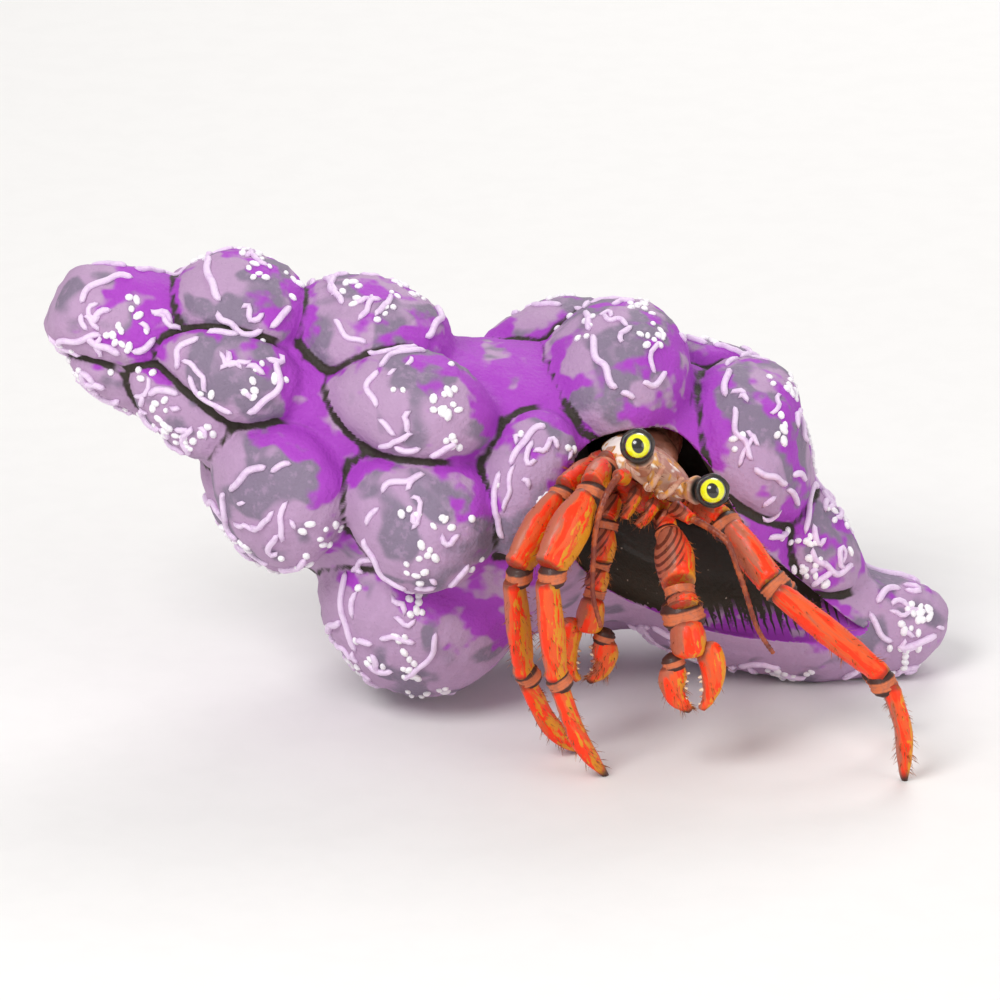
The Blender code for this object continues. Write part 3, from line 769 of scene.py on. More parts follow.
class KnobMap:
    """Where places on the shell lie on its knobs: a row for each place, a column for each knob."""

    def __init__(self, along, angle):
        place, degrees, half_length, half_width, height = np.array(all_knobs(), float).T
        centre = np.radians(degrees)
        turn = np.angle(np.exp(1j * (angle[:, None] - centre)))
        girth = shell_base(place, centre) + height / 2
        beside, above = (along[:, None] - place) / half_length, turn * girth / half_width
        self.reach = beside**2 + above**2
        self.bearing = np.arctan2(above, beside)
        self.raised = height * np.clip(1 - self.reach, 0, None) ** 0.6
        self.share = self.raised / height
        foot = (np.sqrt(self.reach) - 1) * np.sqrt(half_length * half_width)
        self.excess = np.where(foot < 0, self.raised, -foot)

    def hollows(self):
        """How hollow each place is, from 0 on a knob to 1 between the knobs."""
        rows, first = np.arange(len(self.excess)), self.excess.argmax(1)
        top = self.excess[rows, first]
        on_knob = np.clip(1.35 * self.share[rows, first], 0, 1)
        return (1 - on_knob) * hump(np.minimum(top, 0), 0, FOOT_WIDTH)

    def crevices(self, points, edges):
        """Each point's distance in mm from the nearest crevice, and how strong that crevice is."""
        ground = np.zeros((len(points), 1))
        heights = np.hstack((self.excess, ground))
        rims = np.hstack((rise(np.cos(self.bearing - RIM_BEARING), -0.45, 0.1), ground))
        owner = heights.argmax(1)
        one, other = edges[owner[edges[:, 0]] != owner[edges[:, 1]]].T
        ahead = heights[one, owner[one]] - heights[one, owner[other]]
        behind = heights[other, owner[other]] - heights[other, owner[one]]
        share = (ahead / np.maximum(ahead + behind, 1e-9))[:, None]
        places = points[one] * (1 - share) + points[other] * share
        strength = np.maximum(rims[one, owner[one]], rims[other, owner[other]])
        tree = KDTree(len(places))
        for number, place in enumerate(places.tolist()):
            tree.insert(place, number)
        tree.balance()
        found = [tree.find(point)[1:] for point in points.tolist()]
        distance = np.array([span for _, span in found])
        return evened(distance, edges, 2), evened(strength[[number for number, _ in found]], edges, 3)


def shell_radius(along, angle):
    ends = np.clip(np.minimum(along, SHELL_LENGTH - along) / 2.5, 0, 1)
    return shell_base(along, angle) + KnobMap(along, angle).raised.max(1) * np.sqrt(ends)


def shell_frame(turn_degrees=0.0):
    """The shell's axes: X to its front, turned up by an angle, Y up its side, Z to its apex."""
    apexward = (APEX - CANAL_END).normalized()
    front = Vector((0, -1, 0))
    front = (front - front.dot(apexward) * apexward).normalized()
    side = apexward.cross(front)
    turn = math.radians(turn_degrees)
    outward = front * math.cos(turn) + side * math.sin(turn)
    upward = side * math.cos(turn) - front * math.sin(turn)
    axes = Matrix((outward, upward, outward.cross(upward))).transposed().to_4x4()
    return Matrix.Translation(APEX) @ axes


def in_shell(along, angle, radius):
    """Points of the shell's tables, in millimetres, from arrays of places, angles and radii."""
    local = np.stack((radius * np.cos(angle), radius * np.sin(angle), -along), axis=1)
    matrix = np.array(shell_frame())
    return local @ matrix[:3, :3].T + matrix[:3, 3]


def on_shell(points):
    """The place along the shell, the angle and the radius of points in millimetres."""
    matrix = np.array(shell_frame().inverted())
    local = points @ matrix[:3, :3].T + matrix[:3, 3]
    x, y, z = local.T
    return -z, np.arctan2(y, x), np.hypot(x, y)


def row_shift():
    """From the tables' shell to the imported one, level and in millimetres."""
    grid = np.meshgrid(np.linspace(0, SHELL_LENGTH, 240), np.linspace(-math.pi, math.pi, 180))
    along, angle = (column.ravel() for column in grid)
    points = in_shell(along, angle, shell_radius(along, angle))
    low, high = (np.array(corner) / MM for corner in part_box("shell"))
    shift = (low + high) / 2 - (points.min(0) + points.max(0)) / 2
    return np.array((shift[0], shift[1], 0.0))


def to_row(points):
    return (points + row_shift()) * MM


def make_shell_form(s, materials):
    bm = bmesh.new()
    bmesh.ops.create_uvsphere(bm, u_segments=s.sides, v_segments=s.rings, radius=1)
    bmesh.ops.subdivide_edges(bm, edges=bm.edges, cuts=s.fineness, use_grid_fill=True)
    shell = link("crusted_shell", bm, materials)
    mesh = shell.data
    ball = mesh_points(mesh)
    ball /= np.linalg.norm(ball, axis=1)[:, None]
    share = np.arccos(np.clip(ball[:, 2], -1, 1)) / math.pi
    along = SHELL_LENGTH * (0.8 * share + 0.2 * (1 - np.cos(share * math.pi)) / 2)
    angle = np.arctan2(ball[:, 1], ball[:, 0])
    points = evened(in_shell(along, angle, shell_radius(along, angle)), mesh_edges(mesh), 6)
    move_points(mesh, points)
    crease, line = KnobMap(along, angle).crevices(points, mesh_edges(mesh))
    relief = -s.groove_depth / MM * hump(crease, 0, GROOVE) * (0.3 + 0.7 * line)
    relief += s.lump_height / MM * (lumps(points, 4.2, 3.0) + 0.6 * lumps(points, 1.7, 9.0))
    cords = np.cos(2 * math.pi * (along * MM / s.cord_spacing + 0.35 * lumps(points, 9.0, 5.0)))
    relief += s.cord_height / MM * cords * (0.6 + 0.8 * lumps(points, 7.0, 1.0))
    relief = np.minimum(relief, TALLEST_RELIEF) * np.clip(points[:, 2] / FLOOR_RISE, 0, 1)
    points += mesh_normals(mesh) * relief[:, None]
    points[:, 2] = np.maximum(points[:, 2], 0.0)
    move_points(mesh, points)
    return shell


def make_passage_form():
    """The passage inside the shell, smooth from section to section, as a closed form."""
    sides, rings = 84, 46
    steps = np.arange(len(PASSAGE))
    columns = np.array([(*inner, *outer, *rest) for inner, outer, *rest in PASSAGE]).T
    bm = bmesh.new()
    bmesh.ops.create_uvsphere(bm, u_segments=sides, v_segments=rings, radius=1)
    for vert in bm.verts:
        ring = ring_of(vert, rings)
        step = (min(max(ring, 1), rings - 1) - 1) / (rings - 2) * steps[-1]
        ix, iy, ox, oy, first, last, tuck = (float(np.interp(step, steps, c)) for c in columns)
        inner, outer = Vector((ix, iy)), Vector((ox, oy))
        across = (outer - inner) / 2
        turn = math.atan2(vert.co.y, vert.co.x)
        pole = ring in (0, rings)
        along = (first + last) / 2 + (0.0 if pole else (last - first) / 2 * math.cos(turn))
        width = 0.0 if pole else math.sin(turn) * (0.35 + 0.86 * abs(math.sin(turn / 2)))
        drop = CANAL_DRAW * across.length * ((along - first) / (last - first)) ** 2
        if not pole:
            tucked = 1 - float(rise(turn, LIP_FULL, LIP_FREE))
            drop += tuck * max(math.sin(turn), 0.0) * tucked
        place = (inner + outer) / 2 + across * width - across.normalized() * drop
        vert.co = (place.x, place.y, -along)
    bm.transform(shell_frame(MOUTH_TURN))
    return bm


LINING_GAP = 0.03  # in mm: how near the passage a face of the lining is
LIP_FLOOR = 0.5  # in mm: the lip stays as it is below this height


def soften_lip(mesh, lining_tree):
    """Marks the lining's faces and rounds the shell's lip."""
    bm = bmesh.new()
    bm.from_mesh(mesh)
    for face in bm.faces:
        near = lining_tree.find_nearest(face.calc_center_median(), LINING_GAP)
        face.material_index = 0 if near[0] is None else 1
    lip = {v for e in bm.edges if len({f.material_index for f in e.link_faces}) == 2 for v in e.verts}
    for _ in range(2):
        lip |= {e.other_vert(v) for v in list(lip) for e in v.link_edges}
    smooth_verts(bm, [v for v in lip if v.co.z > LIP_FLOOR], 5)
    bm.to_mesh(mesh)
    bm.free()


class CRAB_OT_shell(bpy.types.Operator):
    """The crusted shell, with crevices round its knobs and a lined mouth, both darkened with painted
    shade
    """

    bl_idname = "hermit_crab.shell"
    bl_label = "Shell"

    def execute(self, context):
        s = settings().shell
        shell = make_shell_form(s, [crust_finish(s), lining_finish(s)])
        passage_form = make_passage_form()
        lining_tree = BVHTree.FromBMesh(passage_form)
        passage = link("passage_form", passage_form, [])
        modifier = shell.modifiers.new("passage", "BOOLEAN")
        modifier.operation, modifier.solver, modifier.object = "DIFFERENCE", "MANIFOLD", passage
        settle(shell)
        bpy.data.objects.remove(passage)
        mesh = shell.data
        soften_lip(mesh, lining_tree)
        points = mesh_points(mesh)
        along, angle, radius = on_shell(points)
        edges, knobs = mesh_edges(mesh), KnobMap(along, angle)
        canal = rise(along, *CANAL_START)
        valley = knobs.hollows() * (1 - 0.75 * canal)
        # How far each point faces the side that takes the painted purple shade.
        lee = mesh_normals(mesh) @ np.array(SHADE_SIDE_WAY) * (1 - 0.6 * canal)
        for name, values in (("valley", valley), ("lee", lee)):
            write_attribute(mesh, name, evened(values, edges, 4))
        for name, values in zip(("crease", "line"), knobs.crevices(points, edges)):
            write_attribute(mesh, name, values)
        depth = np.clip(shell_radius(along, angle) - radius, 0, None)
        write_attribute(mesh, "depth", depth)
        below = rise(-np.sin(angle - math.radians(MOUTH_TURN)), -0.1, 0.5)
        below *= rise(along, *FRINGE_START)
        write_attribute(mesh, "fringe", 1 - depth / (0.9 + s.fringe / MM * below))
        move_points(mesh, to_row(points))
        mesh.shade_smooth()
        piece(shell, "purple_crust", "shell")
        return {"FINISHED"}


# ------------------------------------------------------------------ growths on the shell, and white flecks as painted highlights
FLOOR_GAP = 0.7 * MM  # nothing grows nearer to the floor
EVEN_STEP = 1.1 * MM  # a ridge ends where the surface drops further than this in a step
RIDGE_STEP = 0.4  # from one point of a ridge to the next, in mm
SQUIGGLE_STEP = 0.5


class Patch:
    """A knob or an even stretch: takes steps of -1 to 1 along and across it to the shell's tables."""

    def __init__(self, place, degrees, half_length, half_width, height=0.0):
        self.place, self.angle = place, math.radians(degrees)
        self.half_length, self.half_width = half_length, half_width
        self.size = math.sqrt(half_length * half_width)
        base = shell_base(np.array([float(place)]), np.array([self.angle]))
        self.girth = float(base[0]) + height / 2

    def at(self, along, above):
        place = self.place + self.half_length * along
        return place, self.angle + self.half_width * above / self.girth

    def turned(self, reach, bearing):
        return self.at(reach * math.cos(bearing), reach * math.sin(bearing))


class ShellSurface:
    """Finds the finished shell's surface at a place and an angle of its tables."""

    def __init__(self):
        mesh = bpy.data.objects["crusted_shell"].data
        corners, faces = [v.co for v in mesh.vertices], [p.vertices for p in mesh.polygons]
        self.lining = [p.material_index == 1 for p in mesh.polygons]
        self.tree = BVHTree.FromPolygons(corners, faces)
        self.shift = row_shift()

    def at(self, along, angle):
        """The point and normal there, or None over the mouth and close to the floor."""
        places = np.array([along, along]), np.array([angle, angle]), np.array([0.0, FAR_OUT])
        axis, far = (Vector(p) for p in (in_shell(*places) + self.shift) * MM)
        point, normal, face, _ = self.tree.ray_cast(far, (axis - far).normalized())
        if point is None or point.z < FLOOR_GAP or self.lining[face]:
            return None
        return point, normal


def add_ridge(bm, surface, route, radius):
    """A rounded ridge along a route of (place, angle), over its longest even run on the shell."""
    runs = [[]]
    for place in route:
        found = surface.at(*place)
        if found and runs[-1] and (found[0] - runs[-1][-1][0]).length > EVEN_STEP:
            runs.append([])
        if found:
            runs[-1].append(found)
        elif runs[-1]:
            runs.append([])
    longest = max(runs, key=len)
    if len(longest) < 4:
        return
    points = [point + normal * radius * 0.3 for point, normal in longest]
    radii = [radius] * len(points)
    radii[0] = radii[-1] = 0.0
    radii[1] = radii[-2] = radius * 0.85
    swept(bm, points, radii, 6)


def fleck_place(found, radius, rng):
    """How a fleck lies at a point of the shell, turned and stretched by chance."""
    point, normal = found
    turn = Matrix.Rotation(rng.uniform(0, math.pi), 4, "Z")
    size = radius * rng.uniform(0.75, 1.15)
    stretch = Matrix.Diagonal((size * rng.uniform(1.0, 1.7), size, size * 0.75, 1.0))
    return aimed(point + normal * radius * 0.15, normal) @ turn @ stretch


class CRAB_OT_growths(bpy.types.Operator):
    """Pale ridges round the knobs' rims and over their tops, and clusters of raised white flecks as
    painted highlights
    """

    bl_idname = "hermit_crab.growths"
    bl_label = "Growths on the shell"

    def execute(self, context):
        s = settings().growths
        surface = ShellSurface()
        ridges, flecks = bmesh.new(), []
        for number, row in enumerate((*all_knobs(), *EVEN_PATCHES)):
            patch, rng = Patch(*row), random.Random(40 + number)
            self.add_rim_ridges(ridges, surface, patch, rng, s.ridge_radius)
            self.add_squiggles(ridges, surface, patch, rng, s.ridge_radius)
            flecks += self.cluster_places(surface, patch, rng, s.fleck_radius)
        pink = growth_finish("pale pink ridges", s.ridge_colour, tone(214, 176, 220))
        white = growth_finish("white flecks", s.fleck_colour, tone(226, 214, 230))
        piece(link("shell_ridges", ridges, [pink]), "purple_crust")
        fleck = bmesh.new()
        bmesh.ops.create_uvsphere(fleck, u_segments=8, v_segments=5, radius=1)
        finished(scatter("shell_flecks", fleck, flecks), white, "purple_crust")
        return {"FINISHED"}

    def add_rim_ridges(self, bm, surface, patch, rng, radius):
        """Wavy ridges, one after the other, round a knob on all sides but the canal's."""
        bearing = math.radians(rng.uniform(85, 110))
        while bearing < math.radians(320):
            reach = rng.uniform(0.60, 0.76)
            run = rng.uniform(2.4, 8.0)
            arc = run / (reach * patch.size)
            wave, phase = rng.uniform(0.10, 0.30) / patch.size, rng.uniform(0, 6)
            drift = rng.uniform(-0.08, 0.08)
            route = []
            for t in np.linspace(0, 1, max(5, round(run / RIDGE_STEP))):
                waved = reach + drift * t + wave * math.sin(phase + run * 1.5 * t)
                route.append(patch.turned(waved, bearing + arc * t))
            add_ridge(bm, surface, route, radius * rng.uniform(0.8, 1.05))
            bearing += arc + rng.uniform(0.3, 1.5) / (reach * patch.size)

    def add_squiggles(self, bm, surface, patch, rng, radius):
        """Short ridges that wander over the top of a knob."""
        for _ in range(rng.choice((5, 6, 7))):
            reach, bearing = rng.uniform(0.15, 0.65), math.radians(rng.uniform(0, 360))
            along, above = reach * math.cos(bearing), reach * math.sin(bearing)
            heading, bend = rng.uniform(0, 2 * math.pi), 0.0
            route = []
            for _ in range(rng.randint(4, 11)):
                route.append(patch.at(along, above))
                along += SQUIGGLE_STEP / patch.size * math.cos(heading)
                above += SQUIGGLE_STEP / patch.size * math.sin(heading)
                bend = 0.4 * bend + rng.uniform(-0.8, 0.8)
                heading += bend
            add_ridge(bm, surface, route, radius * rng.uniform(0.7, 0.95))

    def cluster_places(self, surface, patch, rng, radius):
        """Where the flecks of a knob lie: most of its clusters are on its lit side, as painted
        highlights.
        """
        places = []
        for _ in range(3 + round(patch.size / 2.2)):
            lit_side = rng.random() < 0.68
            bearing = math.radians(rng.uniform(-60, 75) if lit_side else rng.uniform(120, 280))
            reach = rng.uniform(0.12, 0.82)
            along, above = reach * math.cos(bearing), reach * math.sin(bearing)
            for _ in range(rng.choice((1, 2, 3, 4, 5))):
                found = surface.at(*patch.at(along, above))
                if found:
                    places.append(fleck_place(found, radius, rng))
                turn = rng.uniform(0, 2 * math.pi)
                stride = rng.uniform(0.8, 1.5) / patch.size
                along, above = along + stride * math.cos(turn), above + stride * math.sin(turn)
        return places


# ------------------------------------------------------------------ the crab's plates
RIM, RIM_GROOVE, FOOT_RIM, RIM_WIDTH = 0.95, 0.885, 0.05, 0.03  # shares of a segment's length
END_SHARE = 0.3  # the part of a segment, at either end, that its end radii are read from
SAME_POINT = 1e-6  # in metres: points this close are one
FLAT_ENOUGH, SQUARE_ENOUGH = math.radians(28), math.radians(60)  # for two triangles as one face
# The way the painted light comes from: amber highlight streaks face it, brown-pink and hatched
# painted shade face away.
PAINTED_LIGHT_WAY = Vector((0.80, -0.10, -0.55)).normalized()  # the way that the amber flanks face
# The plates that carry hatched shade, and how strongly.
HATCHED = {
    "cheliped_left_merus": 1.0, "cheliped_right_merus": 1.0, "cheliped_right_carpus": 0.8,
    "cheliped_left_ischium": 1.0, "cheliped_right_ischium": 1.0,
}
# For each finger of a claw: the side that its teeth are on, and where they stand along it.
TOOTH_PLACES = {
    "dactyl": (-1, (0.26, 0.4, 0.54, 0.68, 0.8)),
    "palm": (1, (0.62, 0.69, 0.76, 0.83, 0.9)),
}
TOOTH_SIZES = (0.95, 0.7, 1.0, 0.65, 0.5)
BRISTLES = {"merus": 26, "carpus": 34, "propodus": 70, "dactyl": 90, "palm": 40}
MOUTH_BRISTLES = {"maxilliped": 40, "antennule": 26}


def corner_points(node):
    return np.unique(np.round([v.co for v in frame["nodes"][node].data.vertices], 7), axis=0)


def facing_end(points, others):
    """The middle of the nine points that lie nearest to another node's points."""
    gaps = np.linalg.norm(points[:, None] - others[None], axis=2).min(1)
    return Vector(points[np.argsort(gaps)[:9]].mean(0))


class Segment:
    """A node's own measures: where it starts and ends, the way it is wide, and its end radii."""

    def __init__(self, node, before, after=None):
        points = corner_points(node)
        self.start = facing_end(points, corner_points(before))
        if after:
            self.end = facing_end(points, corner_points(after))
        else:
            reach = np.linalg.norm(points - np.array(self.start), axis=1)
            self.end = Vector(points[reach.argmax()])
        self.length = (self.end - self.start).length
        self.toward = (self.end - self.start).normalized()
        share = self.shares(points)
        off = points - np.array(self.start) - np.outer(share * self.length, self.toward)
        widest = Vector(np.linalg.svd(off - off.mean(0), full_matrices=False)[2][0])
        self.across = (widest - widest.dot(self.toward) * self.toward).normalized()
        self.depth = self.toward.cross(self.across)
        girth = np.linalg.norm(off, axis=1)
        self.start_radius = float(girth[share < END_SHARE].max())
        self.end_radius = float(girth[share > 1 - END_SHARE].max())

    def shares(self, points):
        """How far along the segment each point is, from 0 to 1."""
        return (points - np.array(self.start)) @ np.array(self.toward) / self.length

    def own_axes(self, points):
        """The points in the segment's own axes, in millimetres: across, deep, along."""
        axes = np.array((self.across, self.depth, self.toward)).T
        return (points - np.array(self.start)) @ axes / MM


def middle_of(node):
    low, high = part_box(node)
    return (low + high) / 2


def limb_segments(limb):
    """The segments of a limb, from the body outwards; a claw's two fingers share its wrist."""
    names = CHAINS[limb]
    nodes = ["thorax"] + [f"{limb}_{name}" for name in names]
    made = {}
    for number, name in enumerate(names, 1):
        before, after = nodes[number - 1], nodes[number + 1] if number < len(names) else None
        if name == "palm":
            after = None
        if limb in ARMS and name == "dactyl":
            before = nodes[number - 2]
        made[name] = Segment(nodes[number], before, after)
    return made


def fine_copy(node, levels):
    """A finely divided copy of a node, rounded but still through the node's corners."""
    bm = bmesh.new()
    bm.from_mesh(frame["nodes"][node].data)
    bmesh.ops.remove_doubles(bm, verts=bm.verts, dist=SAME_POINT)
    bmesh.ops.join_triangles(
        bm, faces=bm.faces, angle_face_threshold=FLAT_ENOUGH, angle_shape_threshold=SQUARE_ENOUGH
    )
    obj = link(PLATE.format(node), bm, [])
    corners = mesh_points(obj.data)
    cage = corners.copy()
    modifier = obj.modifiers.new("rounding", "SUBSURF")
    modifier.levels = modifier.render_levels = levels
    for _ in range(4):
        depsgraph = bpy.context.evaluated_depsgraph_get()
        rounded = mesh_points(obj.evaluated_get(depsgraph).data)[: len(corners)]
        cage += corners - rounded
        move_points(obj.data, cage)
        bpy.context.view_layer.update()
    settle(obj)
    return obj


def dress_plate(obj, segment, s, dull, nail, keel, seed):
    """Gives a plate its rim, keels and swells, and the attributes that its colours follow."""
    mesh = obj.data
    points, lit = mesh_points(mesh), mesh_normals(mesh) @ np.array(PAINTED_LIGHT_WAY)
    share, own = segment.shares(points), segment.own_axes(points)
    turn = np.arctan2(own[:, 1], own[:, 0])
    mid = rise(share, 0.08, 0.25) * rise(share, 0.97, 0.8)
    relief = s.lumps * (lumps(own, 1.5, seed) + 0.4 * lumps(own, 0.6, seed + 4))
    relief += s.keel * keel * mid * (hump(np.abs(np.sin(turn)), 0, 0.22) - 0.3)
    if not nail:
        relief += s.flange * hump(share, RIM, RIM_WIDTH)
        relief -= s.flange * 0.8 * hump(share, RIM_GROOVE, RIM_WIDTH)
    relief += s.flange * 0.5 * hump(share, FOOT_RIM, RIM_WIDTH)
    swell(mesh, relief)
    near_body = rise(share + 0.2 * lumps(own, 2.0, seed), 1.1, 0.5)
    write_attribute(mesh, "grain", own + seed * 7.3)
    write_attribute(mesh, "share", share)
    # flank: how far each point faces the painted light.
    write_attribute(mesh, "flank", lit)
    # Painted shade: how much hatched shade a point takes, on the side away from the painted light and
    # nearer the body.
    write_attribute(mesh, "dull", dull * rise(-lit, -0.5, 0.5) * near_body)
    write_attribute(mesh, "nail", rise(share, 0.86, 0.97) * nail)


class CRAB_OT_plates(bpy.types.Operator):
    """The hard plates of the legs, the claw arms and the thorax"""

    bl_idname = "hermit_crab.plates"
    bl_label = "Legs, arms and thorax"

    def execute(self, context):
        s = settings().armour
        finish = armour_finish(s)
        for number, limb in enumerate(CHAINS):
            for place, (name, segment) in enumerate(limb_segments(limb).items()):
                node = f"{limb}_{name}"
                obj, seed = fine_copy(node, 3), number * 5.0 + place
                keel = 0.6 if name in ("ischium", "carpus") else 1.0
                dress_plate(obj, segment, s, HATCHED.get(node, 0.0), name == "dactyl", keel, seed)
                finished(obj, finish, "orange_shell_plates", node)
        thorax = fine_copy("thorax", 4)
        # The thorax takes the full painted hatched shade.
        dress_plate(thorax, Segment("thorax", "abdomen_front"), s, 1.0, False, 0.0, 77.0)
        finished(thorax, finish, "orange_shell_plates", "thorax")
        return {"FINISHED"}


def edge_places(obj, segment, facing, shares):
    """The plate's point that stands out furthest that way, and its normal, at each share along."""
    points, normals = mesh_points(obj.data), mesh_normals(obj.data)
    along, facing = segment.shares(points), np.array(facing)
    found = []
    for share in shares:
        near = np.flatnonzero(np.abs(along - share) < 0.025)
        standing_out = points[near] @ facing + 0.2 * MM * (normals[near] @ facing)
        best = near[np.argmax(standing_out)]
        found.append((Vector(points[best]), Vector(normals[best])))
    return found


class CRAB_OT_claw_teeth(bpy.types.Operator):
    """The blunt pale teeth along the inner edges of the claws' fingers"""

    bl_idname = "hermit_crab.claw_teeth"
    bl_label = "Claw teeth"

    def execute(self, context):
        s = settings().armour
        bm = bmesh.new()
        for arm in ARMS:
            segments = limb_segments(arm)
            palm = segments["palm"]
            opening = middle_of(f"{arm}_dactyl") - (palm.start + palm.end * 2) / 3
            for name, (side, shares) in TOOTH_PLACES.items():
                obj, segment = bpy.data.objects[PLATE.format(f"{arm}_{name}")], segments[name]
                facing = opening - opening.dot(segment.toward) * segment.toward
                facing = facing.normalized() * side
                roots = edge_places(obj, segment, facing, shares)
                for (point, normal), share in zip(roots, TOOTH_SIZES):
                    size = s.tooth * share
                    aim = (facing * 0.8 + normal * 0.4).normalized()
                    bmesh.ops.create_cone(
                        bm, cap_ends=True, segments=10, radius1=size * 0.46, radius2=size * 0.13,
                        depth=size * 0.85, matrix=aimed(point + aim * size * 0.12, aim),
                    )
        sharp = [e for e in bm.edges if len(e.link_faces) == 2 and e.calc_face_angle() > 0.9]
        bmesh.ops.bevel(
            bm, geom=sharp, offset=0.05 * MM, segments=2, profile=0.5, affect="EDGES", material=-1
        )
        tooth = plain_finish("claw teeth", s.tooth_colour, s.brown_pink, 0.9, 0.3, 0.03, 0.4)
        piece(link("claw_teeth", bm, [tooth]), "orange_shell_plates")
        return {"FINISHED"}


class CRAB_OT_joints(bpy.types.Operator):
    """The wrinkled skin that joins one plate to the next"""

    bl_idname = "hermit_crab.joints"
    bl_label = "Joint skin"

    def execute(self, context):
        s = settings().armour
        bm = bmesh.new()
        for limb in CHAINS:
            segments = list(limb_segments(limb).values())
            for one, other in zip(segments, segments[1:]):
                hinge, radius = one.end, 0.78 * min(one.end_radius, other.start_radius)
                if limb in ARMS and other is segments[-1]:
                    hinge, radius = other.start - other.toward * 0.5 * MM, 0.62 * other.start_radius
                self.add_joint(bm, hinge, other, radius)
        piece(link("joint_skin", bm, [joint_finish(s)]), "orange_shell_plates")
        return {"FINISHED"}

    def add_joint(self, bm, hinge, other, radius):
        """A pinched sleeve from one plate into the next; two layers mark its edges and folds."""
        gap = other.start - hinge
        toward = (gap.normalized() + other.toward).normalized()
        half_length = gap.length / 2 + radius * 0.7
        turn = Matrix((other.across, toward.cross(other.across), toward)).transposed()
        layers = bm.verts.layers.float
        edge, fold = (layers.get(name) or layers.new(name) for name in ("edge", "fold"))
        made = bmesh.ops.create_uvsphere(bm, u_segments=20, v_segments=24, radius=1)["verts"]
        for vert in made:
            height, ripple = vert.co.z * half_length, math.cos(vert.co.z * 20)
            vert[edge] = abs(height) / (gap.length / 2 + 0.12 * radius)
            vert[fold] = -ripple
            girth = radius * (1 + 0.05 * ripple - 0.10 * hump(vert.co.z, 0, 0.2))
            offset = Vector((vert.co.x * girth, vert.co.y * girth, height))
            vert.co = (hinge + other.start) / 2 + turn @ offset


# ------------------------------------------------------------------ head, eyes and feelers
def crab_axes():
    """The way ahead, to the crab's left and up through its back, from its head's nodes."""
    eyes = [middle_of(f"eye_{side}") for side in ("left", "right")]
    stalks = [middle_of(f"eyestalk_{side}") for side in ("left", "right")]
    left = (eyes[0] - eyes[1]).normalized()
    ahead = (stalks[0] + stalks[1]) / 2 - middle_of("carapace_shield")
    ahead = (ahead - ahead.dot(left) * left).normalized()
    return ahead, left, ahead.cross(left)


def toward_viewer():
    """The way from the model to its usual viewer."""
    lift = math.radians(VIEW_ELEVATION)
    return Vector((0, -math.cos(lift), math.sin(lift)))


# The tan pieces, and how often each is divided.
FACE_PIECES = {
    "carapace_shield": 4, "eyestalk_left": 3, "eyestalk_right": 3, "antennule_left": 3,
    "antennule_right": 3,
}


class CRAB_OT_head(bpy.types.Operator):
    """The shield behind the eyes, the eyestalks, the feelers' bases and the mouth's limbs"""

    bl_idname = "hermit_crab.head"
    bl_label = "Head"

    def execute(self, context):
        s = settings()
        face, armour = face_finish(s.face), bpy.data.materials["crab armour"]
        ahead, left, up = (np.array(axis) for axis in crab_axes())
        axes = np.stack((ahead, left, up)).T / MM
        for node, levels in FACE_PIECES.items():
            self.add_face_piece(fine_copy(node, levels), node, axes, face)
        for number, part in enumerate(("antenna_base", "maxilliped")):
            for side in ("left", "right"):
                node = f"{part}_{side}"
                obj, segment = fine_copy(node, 3), Segment(node, "thorax")
                # The feelers' bases and the mouth's limbs take half the painted hatched shade.
                dress_plate(obj, segment, s.armour, 0.5, False, 0.3, 50.0 + number)
                finished(obj, armour, "orange_shell_plates", node)
        return {"FINISHED"}

    def add_face_piece(self, obj, node, axes, face):
        """A tan piece with fine swells; the shield has a curved groove and a furrow too."""
        mesh, shield = obj.data, node == "carapace_shield"
        points = mesh_points(mesh)
        local = (points - np.array(middle_of(node))) @ axes
        relief = 0.04 * lumps(local, 0.9, 2.0, 2)
        if shield:
            groove = hump(local[:, 0] + 0.16 * local[:, 1] ** 2 - 1.2, 0, 0.45)
            relief += 0.07 * lumps(local, 2.6, 8.0) - 0.22 * groove
            relief -= 0.12 * hump(local[:, 1], 0, 0.25)
        swell(mesh, relief * MM)
        write_attribute(mesh, "grain", local)
        write_attribute(mesh, "flank", local[:, 1] / 5 * shield)
        write_attribute(mesh, "collar", self.collar_share(node, points))
        finished(obj, face, "tan_shield", node)

    def collar_share(self, node, points):
        """1 beside the eye at a stalk's end, and 0 elsewhere."""
        if not node.startswith("eyestalk"):
            return np.zeros(len(points))
        eye = np.array(middle_of(node.replace("eyestalk", "eye")))
        return rise(np.linalg.norm(points - eye, axis=1) / MM, 2.9, 2.3)


PUPIL_TILT, PUPIL_STRETCH = math.radians(-18), 1.3
BEHIND = 9.0  # well out of the ring and the pupil


